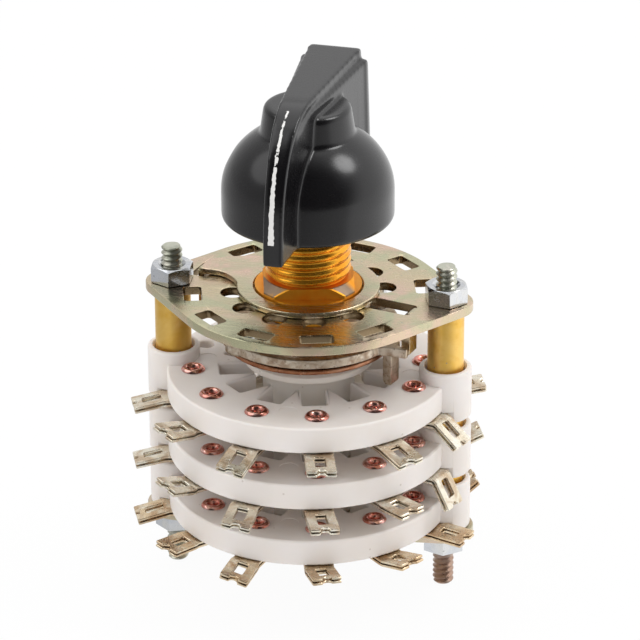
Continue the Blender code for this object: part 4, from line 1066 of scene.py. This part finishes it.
def bushing():
    """The threaded tube: thread, run-out groove, chamfered collar with flats, spigot and peened rim."""
    bore = SHAFT_R + RUN
    collar_low = PLATE_TOP + SEAT
    start = COLLAR_TOP + RELIEF_LONG * 0.8
    shape = BUSHING_R, THREAD_PITCH, THREAD_DEPTH, start, BUSHING_TOP, THREAD_CHAMFER
    thread = threaded(*shape, 0.2 * MM, 96, 8)
    inner = circle((0, 0), bore, 48)
    mouth = [thread.verts.new((*point, BUSHING_TOP)) for point in inner]
    mouth_edges = [thread.edges.new((mouth[i - 1], mouth[i])) for i in range(len(mouth))]
    top = [e for e in rim_edges(thread, BUSHING_TOP) if e not in mouth_edges]
    bmesh.ops.bridge_loops(thread, edges=top + mouth_edges)
    below = bmesh.ops.extrude_edge_only(thread, edges=mouth_edges)["geom"]
    for corner in {item for item in below if isinstance(item, bmesh.types.BMVert)}:
        corner.co.z = start
    bmesh.ops.bridge_loops(thread, edges=rim_edges(thread, start))
    piece("bushing_thread", thread, "brass_gold", "root", "threaded_bushing", sharp=50)
    end = start - 0.02 * MM
    profile = [(bore, end), (bore, PEEN_LOW), (PEEN_R, PEEN_LOW), (PEEN_R, PLATE_LOW - SEAT)]
    profile += [(SPIGOT_R, PLATE_LOW - SEAT), (SPIGOT_R, collar_low), (COLLAR_R, collar_low)]
    profile += [(COLLAR_R, COLLAR_LIP), (COLLAR_R, COLLAR_TOP - COLLAR_CHAMFER)]
    profile += [(COLLAR_R - COLLAR_CHAMFER, COLLAR_TOP), (RELIEF_R, COLLAR_TOP), (RELIEF_R, end)]
    radii = [0, 0, 0.4 * MM, 0.1 * MM, 0, 0, 0.1 * MM, 0, 0.1 * MM, 0.12 * MM, 0.15 * MM, 0]
    collar = spun(rounded(profile, radii), 128)
    steps = []
    for turn, flats in ((0, COLLAR_FLATS), (90, COLLAR_SIDE_FLATS)):
        for side in (0, 180):
            cut = [(flats / 2, COLLAR_LIP), (PEEN_R * 2, COLLAR_LIP), (PEEN_R * 2, COLLAR_TOP * 2)]
            cutter = across([*cut, (flats / 2, COLLAR_TOP * 2)], PEEN_R * 2, CUT_EDGE)
            cutter.transform(about_z(COLLAR_FLATS_ANGLE + turn + side))
            steps.append(("DIFFERENCE", cutter))
    piece("bushing_collar", carved(collar, *steps), "brass_gold", "root")


def tie_rods_and_nuts():
    """Both rods, threaded to their ends, each with a nut above the plate and one below the strap."""
    low = ROD_TOP - ROD_LENGTH
    for (side, x), top_turn, low_turn in zip(SIDES, TOP_NUT_TURNS, LOW_NUT_TURNS):
        at = Matrix.Translation((x, 0, 0))
        shape = ROD_R, ROD_PITCH, ROD_THREAD_DEPTH, low, ROD_TOP, ROD_CHAMFER
        rod = threaded(*shape, ROD_CHAMFER, 36, 6)
        for height in (low, ROD_TOP):
            bmesh.ops.edgeloop_fill(rod, edges=rim_edges(rod, height))
        look = "rod_copper" if side == "right" else "rod_green"
        piece(f"screw_{side}", rod, "steel", "root", f"tie_rod_{side}", sharp=50, move=at, look=look)
        for name, node, base, turn in (
            ("nut_top_", "top_nut_", PLATE_TOP + SEAT, top_turn),
            ("nut_low_", "bottom_nut_", STRAP_LOW - SEAT - NUT_HEIGHT, low_turn),
        ):
            place = at @ Matrix.Translation((0, 0, base)) @ about_z(turn)
            piece(name + side, nut(), "zinc_bright", "root", node + side, move=place, sharp=20)


def nut():
    """A hexagon nut chamfered at its upper face, standing on Z = 0."""
    flats, corner, top = NUT_FLATS / 2, NUT_FLATS / math.sqrt(3), NUT_HEIGHT
    hole = circle((0, 0), ROD_R + 0.02 * MM, 36)
    body = pressed(softened(hexagon(NUT_FLATS), NUT_CORNER), [hole], 0, top, 0.03 * MM, 1)
    barrel = [(0, -MM), (corner + MM, -MM), (corner, top - NUT_CHAMFER), (flats - 0.1 * MM, top), (0, top)]
    floor = top - NUT_DISH_DEEP
    dish = [(0, top + MM), (NUT_DISH_R, top + MM), (ROD_R, floor), (0, floor)]
    return carved(body, ("INTERSECT", solid_of(barrel, 96)), ("DIFFERENCE", solid_of(dish, 64)))


def spacers():
    """The brass tubes on the rods: long ones above the wafers and short ones between them."""
    for name, length, tops in (("long", LONG_SPACER, [LONG_TOP]), ("short", SHORT_SPACER, SHORT_TOPS)):
        for (side, x), (i, top) in itertools.product(SIDES, enumerate(tops)):
            low = top - length
            profile = [(ROD_HOLE_R, low), (SPACER_R, low), (SPACER_R, top), (ROD_HOLE_R, top)]
            tube = spun(rounded(profile, [0.1 * MM, 0.15 * MM, 0.15 * MM, 0.1 * MM], 3), 72)
            tag = f"{side}_{i + 1}" if len(tops) > 1 else side
            at = Matrix.Translation((x, 0, 0))
            piece(f"{name}_tube_{tag}", tube, "brass_satin", "root", f"{name}_spacer_{tag}", move=at)


def index_parts():
    """The index disc with its stop spike and finger, the dished spring disc and the two balls."""
    lug = [polar(LUG_R, LUG_ANGLE + 9), polar(LUG_R, LUG_ANGLE + 3.5), polar(SPIKE_R, LUG_ANGLE + 2.5)]
    lug += [polar(SPIKE_R, LUG_ANGLE + 0.5), polar(LUG_R, LUG_ANGLE - 2)]
    lug = [polar(INDEX_R, LUG_ANGLE + 12)] + lug + [polar(INDEX_R, LUG_ANGLE - 5)]
    rim = arc((0, 0), INDEX_R, LUG_ANGLE + 17, LUG_ANGLE + 349, 110)
    balls = [circle(polar(DETENT_AT, angle), BALL_R + FIT, 32) for angle in BALL_ANGLES]
    outline = rim + softened([rim[-1], *lug[::-1], rim[0]], 0.25 * MM)[1:-1]
    disc = pressed(outline, [drive_hole(), *balls], INDEX_LOW, INDEX_TOP, SHEET_EDGE)
    finger_low = WAFER_1_TOP + FINGER_END
    outer = LUG_R - 0.2 * MM
    inner = outer - INDEX_T
    bend = arc((inner, INDEX_TOP - 0.05 * MM - INDEX_T), INDEX_T, 0, 90, 6)
    tip = [(inner, finger_low + 0.5 * MM), (inner + 0.3 * INDEX_T, finger_low)]
    tip += [(outer - 0.2 * MM, finger_low), (outer, finger_low + 0.3 * MM)]
    profile = [*bend, *[Vector(point) for point in tip]]
    finger = side_tab(profile, FINGER_WIDE, FINGER_ANGLE, 0.15 * MM)
    disc = carved(disc, ("UNION", finger))
    piece("detent_disc", disc, "zinc_yellow", "turning", "index_disc", look="disc_olive")
    profile = [(SHAFT_R + FIT, SPRING_TOP), (SHAFT_R + FIT, SPRING_LOW), (SPRING_FLAT_R, SPRING_LOW)]
    profile += [(SPRING_R, level - SPRING_DISH) for level in (SPRING_LOW, SPRING_TOP)]
    profile += [(SPRING_FLAT_R, SPRING_TOP)]
    radii = [0.1 * MM, 0.1 * MM, 0, 0.25 * MM, 0.25 * MM, 0]
    piece("spring_disc", spun(rounded(profile, radii), 144), "spring_bronze", "turning", "index_spring")
    drop = SPRING_DISH * (DETENT_AT - SPRING_FLAT_R) / (SPRING_R - SPRING_FLAT_R)
    height = SPRING_TOP - drop + SEAT + BALL_R
    for i, angle in enumerate(BALL_ANGLES):
        ball = bmesh.new()
        bmesh.ops.create_uvsphere(ball, u_segments=40, v_segments=20, radius=BALL_R)
        at = Matrix.Translation((*polar(DETENT_AT, angle), height))
        piece(f"ball_{i + 1}", ball, "steel", "turning", f"detent_ball_{i + 1}", move=at, look="ball_steel")


def bore_outline():
    """The wafer's bore with a notch at each contact site, its corners a little round."""
    half = NOTCH_WIDE / 2
    root = math.degrees(math.asin(half / WAFER_BORE_R))
    points = []
    for site in range(SITES):
        angle = FIRST_SITE + SITE_STEP * site
        corners = turned_round([(NOTCH_R, -half), (NOTCH_R, half)], angle)
        points += [polar(WAFER_BORE_R, angle - root), *corners]
        points += [polar(WAFER_BORE_R, angle + root), polar(WAFER_BORE_R, angle + SITE_STEP / 2)]
    return softened(points, NOTCH_CORNER)


def wafer_shape():
    """A moulded ring with notches round its bore and two ears. Its top is Z = 0."""
    rivets = [polar(RIVET_AT, FIRST_SITE + SITE_STEP * i) for i in range(SITES)]
    rivet_holes = [circle(rivet, RIVET_HOLE_R, 24) for rivet in rivets]
    rim = circle((0, 0), WAFER_R, 180)
    ring = pressed(rim, [bore_outline(), *rivet_holes], -WAFER_T, 0, WAFER_EDGE, 4)
    ear_profile = [(0, EAR_RISE), (EAR_R, EAR_RISE), (EAR_R, -EAR_DROP), (0, -EAR_DROP)]
    ear_profile = rounded(ear_profile, [0, 0.45 * MM, EAR_EDGE, 0], 5)
    pocket_floor = EAR_RISE - EAR_POCKET
    pocket_r = SPACER_R + 2 * FIT
    hole_profile = [(0, EAR_RISE + MM), (pocket_r + 0.8 * MM, EAR_RISE + MM), (pocket_r + 0.3 * MM, EAR_RISE)]
    hole_profile += [(pocket_r, EAR_RISE - 0.4 * MM), (pocket_r, pocket_floor)]
    hole_profile += [(ROD_HOLE_R, pocket_floor), (ROD_HOLE_R, -EAR_DROP - MM), (0, -EAR_DROP - MM)]
    unions = [("UNION", solid_of(ear_profile, 72, (x, 0, 0))) for _, x in SIDES]
    cuts = [("DIFFERENCE", solid_of(hole_profile, 64, (x, 0, 0))) for _, x in SIDES]
    half = TERMINAL_WIDE / 2 + TERMINAL_ROOM
    for angle in (FIRST_SITE, 180 - FIRST_SITE, 180 + FIRST_SITE, -FIRST_SITE):
        box = [(NOTCH_R, -half), (WAFER_R + 2 * EAR_R, -half), (WAFER_R + 2 * EAR_R, half), (NOTCH_R, half)]
        channel = pressed(box, [], -EAR_DROP - MM, -WAFER_T - SEAT / 2, 2 * CUT_EDGE, 1)
        channel.transform(about_z(angle))
        cuts.append(("DIFFERENCE", channel))
    mark = [(0, MM), (PIN_MARK_R, MM), (PIN_MARK_R - 0.2 * MM, -PIN_MARK_DEEP), (0, -PIN_MARK_DEEP)]
    cuts += [("DIFFERENCE", solid_of(mark, 40, (*polar(PIN_MARK_AT, 90 * i), 0))) for i in range(4)]
    return carved(ring, *unions, *cuts)


def leaf_pair(jaw):
    """The two leaves of a terminal, flat, with their jaw at the bore's side. The contact site is on +X."""
    half = TERMINAL_WIDE / 2
    shoulder = NOTCH_R + MM
    tip = TERMINAL_TIP
    plan = [(jaw, -JAW_WIDE / 2), (shoulder, -JAW_WIDE / 2), (shoulder + MM, -half), (tip, -half)]
    plan += [tuple(point) for point in arc((tip, 0), TIP_NOTCH_R, 270, 90, 6)]
    plan += [(tip, half), (shoulder + MM, half), (shoulder, JAW_WIDE / 2), (jaw, JAW_WIDE / 2)]
    plan = softened(plan, 0.22 * MM, 2)
    slot = rounded_slot(TERMINAL_SLOT_AT, TERMINAL_SLOT_WIDE, TERMINAL_SLOT_LONG, 0, LEAF_CORNER)
    hole = circle((RIVET_AT, 0), LEAF_HOLE_R, 16)
    leaves = []
    for side in (1, -1):
        far, near = LEAF_TOP - BLADE_MID, LEAF_TOP - BLADE_MID - LEAF_SHEET
        low, high = sorted((BLADE_MID + side * near, BLADE_MID + side * far))
        leaf = pressed(plan, [slot, hole], low, high, LEAF_EDGE, 1)
        open_at, meet_at = NOTCH_R - 0.8 * MM, NOTCH_R + 0.3 * MM
        for x in (open_at, meet_at):
            cut_at(leaf, x)
        shift = side * (JAW_GAP / 2 - near)
        inner = [vert for vert in leaf.verts if vert.co.x < open_at + WELD]
        bmesh.ops.translate(leaf, verts=inner, vec=(0, 0, shift))
        leaves.append(leaf)
    return leaves


def cut_at(solid, x):
    """Adds edges where a plane across X meets a shape."""
    geometry = solid.verts[:] + solid.edges[:] + solid.faces[:]
    bmesh.ops.bisect_plane(solid, geom=geometry, plane_co=(x, 0, 0), plane_no=(1, 0, 0), dist=WELD / 10)


def bent_leaf(leaf, down, aside, twist):
    """A copy of a leaf whose outer end is bent in a small curve at the wafer's edge."""
    solid = leaf.copy()
    starts = [TERMINAL_BEND + FOLD_SPREAD * (i / (FOLDS - 1) - 0.5) * 2 for i in range(FOLDS)]
    for x in starts:
        cut_at(solid, x)
    parts = [[vert for vert in solid.verts if vert.co.x > x + WELD] for x in starts]
    turn = Matrix.Identity(3)
    for angle, axis in ((aside, "Z"), (down, "Y"), (twist, "X")):
        turn = turn @ Matrix.Rotation(math.radians(angle / FOLDS), 3, axis)
    pivots = [Vector((x, 0, BLADE_MID)) for x in starts]
    for i, outer in enumerate(parts):
        bmesh.ops.rotate(solid, verts=outer, cent=pivots[i], matrix=turn)
        pivots[i + 1 :] = [pivots[i] + turn @ (point - pivots[i]) for point in pivots[i + 1 :]]
    return solid


def eyelet_shape(at):
    """A copper eyelet: a rolled rim over the wafer, a funnel into its shank and a flared foot."""
    rim, shank = RIVET_HEAD_R, RIVET_SHANK_R
    foot = LEAF_LOW - 0.05 * MM
    funnel = [(0, -0.9), (0.45, -0.85), (0.62, -0.35), (0.78, 0.22), (1.0, 0.46), (1.22, 0.52), (1.45, 0.42)]
    profile = [(radius * MM, height * MM) for radius, height in funnel]
    profile += [(rim - 0.06 * MM, 0.2 * MM), (rim, 0.06 * MM), (rim - 0.15 * MM, 0.02 * MM)]
    profile += [(shank, 0.02 * MM), (shank, foot), (shank + 0.4 * MM, foot)]
    profile += [(shank + 0.42 * MM, foot - 0.1 * MM), (shank, foot - 0.24 * MM)]
    profile += [(0.5 * MM, foot - 0.2 * MM), (0, foot - 0.05 * MM)]
    return solid_of(profile, 40, at)


def wafers_and_terminals():
    """The three wafers, each with seven lugs and the eyelets that hold them."""
    wafer = wafer_shape()
    position, common = leaf_pair(POSITION_JAW), leaf_pair(COMMON_JAW)
    for i in range(WAFERS):
        top = WAFER_1_TOP - i * WAFER_PITCH
        level = Matrix.Translation((0, 0, top))
        names = f"contact_wafer_{i + 1}", f"wafer_{i + 1}"
        piece(names[0], wafer.copy(), "wafer_white", "root", names[1], move=level, sharp=50)
        for angle, bends in zip((*POSITION_SITES, COMMON_SITE), BENT[i]):
            at = level @ about_z(angle)
            pair = common if angle == COMMON_SITE else position
            lug = joined([bent_leaf(leaf, *bends) for leaf in pair])
            tag = f"{i + 1}_{angle}"
            piece(f"lug_{tag}", lug, "terminal_tinned", "root", f"terminal_{tag}", move=at, sharp=30)
            finish = {"look": "eyelet_copper", "flat_faces": False}
            piece(f"eyelet_{tag}", eyelet_shape((RIVET_AT, 0, 0)), "spring_bronze", "root", move=at, **finish)


def joined(solids):
    """Several shapes in one mesh, as separate shells."""
    mesh = bpy.data.meshes.new("joined")
    both = bmesh.new()
    for solid in solids:
        bmesh.ops.recalc_face_normals(solid, faces=solid.faces)
        solid.to_mesh(mesh)
        both.from_mesh(mesh)
        solid.free()
    bpy.data.meshes.remove(mesh)
    return both


def rotors():
    """A white hub in each wafer, with a hexagonal boss for its contact blade."""
    profile = [(0, ROTOR_RISE), (ROTOR_TOP_R, ROTOR_RISE), (ROTOR_TOP_R, ROTOR_RISE - ROTOR_NECK)]
    profile += [(FLANGE_R, FLANGE_TOP), (FLANGE_R, FLANGE_LOW), (HUB_R, FLANGE_LOW - 0.5 * MM)]
    profile += [(HUB_R, ROTOR_LOW), (0, ROTOR_LOW)]
    radii = [0, 0.3 * MM, 0.2 * MM, 0.25 * MM, 0.3 * MM, 0.4 * MM, 0.1 * MM, 0]
    hub = solid_of(rounded(profile, radii), 120)
    boss = pressed(hexagon(BLADE_KEY_FLATS), [], BOSS_LOW, ROTOR_LOW + MM, 2 * CUT_EDGE, 1)
    bore = pressed(drive_hole(), [], BOSS_LOW - MM, ROTOR_RISE + MM, 2 * CUT_EDGE, 1)
    rotor = carved(hub, ("UNION", boss), ("DIFFERENCE", bore))
    for i in range(WAFERS):
        at = Matrix.Translation((0, 0, WAFER_1_TOP - i * WAFER_PITCH))
        names = f"hub_{i + 1}", f"rotor_{i + 1}"
        piece(names[0], rotor.copy(), "wafer_white", "turning", names[1], move=at, look="hub_white")


def rear_strap():
    """The strap below the last wafer, which guides the shaft's end."""
    outline = belt(STRAP_WAIST_R, STRAP_END_R, POST_X, 20)
    holes = [circle((x, 0), ROD_HOLE_R, 28) for _, x in SIDES] + [circle((0, 0), SHAFT_R + RUN, 48)]
    strap = pressed(outline, holes, STRAP_LOW, STRAP_TOP, STRAP_EDGE)
    piece("strap", strap, "zinc_yellow", "root", "rear_strap", look="strap_zinc")


def knob_dome_profile():
    """The dome's outline: the neck's rounded top, a quarter of an ellipse and the skirt."""
    points = [(0, NECK_HEIGHT)]
    points += [tuple(p) for p in arc((NECK_TOP_R - NECK_EDGE, NECK_HEIGHT - NECK_EDGE), NECK_EDGE, 90, 0, 8)]
    start = math.asin(NECK_R / KNOB_R)
    rise = (DOME_HEIGHT - SKIRT_HEIGHT) / math.cos(start)
    for i in range(PROFILE_STEPS + 1):
        lean = start + (math.pi / 2 - start) * i / PROFILE_STEPS
        points.append((KNOB_R * math.sin(lean), SKIRT_HEIGHT + rise * math.cos(lean)))
    points += [tuple(p) for p in arc((KNOB_R - SKIRT_ROUND, SKIRT_ROUND), SKIRT_ROUND, 0, -90, 8)]
    return points + [(KNOB_R - 2 * SKIRT_ROUND, -MM), (0, -MM)]


def superellipse(steps, fullness):
    """A quarter of a unit superellipse, from (0, 1) to (1, 0)."""
    power = 2 / fullness
    leans = [math.pi / 2 * i / steps for i in range(steps)]
    return [(math.sin(lean) ** power, math.cos(lean) ** power) for lean in leans] + [(1.0, 0.0)]


def pointer_side(drop, front):
    """The outline of the rib or the wings from the side."""
    top = KNOB_HEIGHT - drop
    reach = POINTER_REACH - front
    low = -2 * MM - drop
    nose = reach - NOSE_LONG
    tail = TAIL_REACH + TAIL_BULGE - 0.3 * drop
    points = [(-tail - TAIL_LEAN, low), (-tail, top - TAIL_EDGE)]
    points += [(-tail + 0.3 * TAIL_EDGE, top - 0.3 * TAIL_EDGE), (-tail + TAIL_EDGE, top), (nose, top)]
    quarter = superellipse(PROFILE_STEPS, NOSE_FULLNESS)[1:]
    return points + [(nose + NOSE_LONG * along, top * up) for along, up in quarter] + [(reach, low)]


def pointer_plan(tail_half, tip_half):
    """The outline of the rib or the wings from above."""
    front = POINTER_REACH + MM
    side = []
    for i in range(PROFILE_STEPS + 1):
        share = i / PROFILE_STEPS
        half = tip_half + (tail_half - tip_half) * share**POINTER_FLARE
        side.append((front - share * (front + TAIL_REACH), half))
    start = TAIL_REACH - TAIL_ROUND
    side = [point for point in side if point[0] > -start]
    for along, half in superellipse(TAIL_STEPS, TAIL_FULLNESS):
        side.append((-start - (TAIL_ROUND + TAIL_BULGE + TAIL_LEAN) * along, tail_half * half))
    return side + [(x, -y) for x, y in reversed(side[:-1])]


def knob():
    """The moulded knob: dome, rib and wings joined, hollow below, its creases filleted."""
    dome = solid_of(knob_dome_profile(), 192)
    parts = []
    rib = (0, 0, RIB_TAIL_HALF, POINTER_TIP_HALF)
    wings = (WING_DROP, WING_FRONT, WING_TAIL_HALF, WING_TIP_HALF)
    for drop, front, tail_half, tip_half in (rib, wings):
        plan = pressed(pointer_plan(tail_half, tip_half), [], -5 * MM, KNOB_HEIGHT + MM, CUT_EDGE, 1)
        side = across(pointer_side(drop, front), KNOB_R, CUT_EDGE)
        solid = carved(plan, ("INTERSECT", side))
        draft = TAIL_DRAFT if drop else TAIL_DRAFT / 2
        for corner in solid.verts:
            back = min(1, max(0, -corner.co.x / TAIL_REACH))
            corner.co.y *= 1 - draft * back * max(0, corner.co.z - DRAFT_FROM) / (KNOB_HEIGHT - DRAFT_FROM)
        parts.append(("UNION", solid))
    inside = KNOB_R - KNOB_WALL
    hollow = [(KNOB_BOSS_R, -MM), (inside, -MM), (inside, KNOB_HOLLOW), (KNOB_BOSS_R, KNOB_HOLLOW)]
    hollow = spun(rounded(hollow, [0, 0, 2 * MM, 0.5 * MM]), 120)
    socket = solid_of(rod_profile(INSERT_R + FIT, -MM, INSERT_HEIGHT + SEAT), 72)
    screw_hole = solid_of(rod_profile(SET_SCREW_R + FIT, 2 * MM, KNOB_R + 2 * MM), 40)
    across_pointer = Matrix.Translation((0, 0, SET_SCREW_HEIGHT)) @ Matrix.Rotation(math.pi / 2, 4, "X")
    screw_hole.transform(across_pointer)
    far, wide = 3 * KNOB_R, 2 * KNOB_R
    under = pressed([(-far, -wide), (far, -wide), (far, wide), (-far, wide)], [], -8 * MM, 0, CUT_EDGE, 1)
    cuts = [("DIFFERENCE", cutter) for cutter in (under, hollow, socket, screw_hole)]
    even = new_object("knob_even", mesh_of(carved(dome, *parts, *cuts), "knob_even"))
    remesh = even.modifiers.new("even", "REMESH")
    remesh.mode = "VOXEL"
    remesh.voxel_size = KNOB_VOXEL
    fine = evaluated(even)
    axes = {"use_axis_x": True, "use_axis_y": True, "use_axis_z": True}
    for _ in range(KNOB_FILLET_PASSES):
        bmesh.ops.smooth_vert(fine, verts=fine.verts, factor=0.5, **axes)
    even.modifiers.remove(remesh)
    fine.to_mesh(even.data)
    fine.free()
    thinner = even.modifiers.new("thinner", "DECIMATE")
    thinner.ratio = KNOB_SHARE
    solid = evaluated(even)
    bpy.data.objects.remove(even)
    at = Matrix.Translation((0, 0, KNOB_LOW)) @ about_z(POINTER_ANGLE)
    piece("pointer_knob", solid, "knob_black", "turning", "knob", move=at, sharp=0, flat_faces=False)


# ---- the switch ----


def dress_frame():
    """Gives every node of the frame the finish of its slot."""
    slots = {part["node"]: part["material_slot"] for part in frame["record"]["subparts"]}
    for name, node in frame["nodes"].items():
        node.data.materials.clear()
        node.data.materials.append(LOOKS[slots[name]])


bpy.context.scene.view_settings.view_transform = "Standard"
make_camera()
make_world()
for light in LIGHTS:
    make_light(*light)
make_floor()
dress_frame()
mounting_plate()
stop_washer()
bushing()
tie_rods_and_nuts()
spacers()
index_parts()
wafers_and_terminals()
rotors()
rear_strap()
knob()
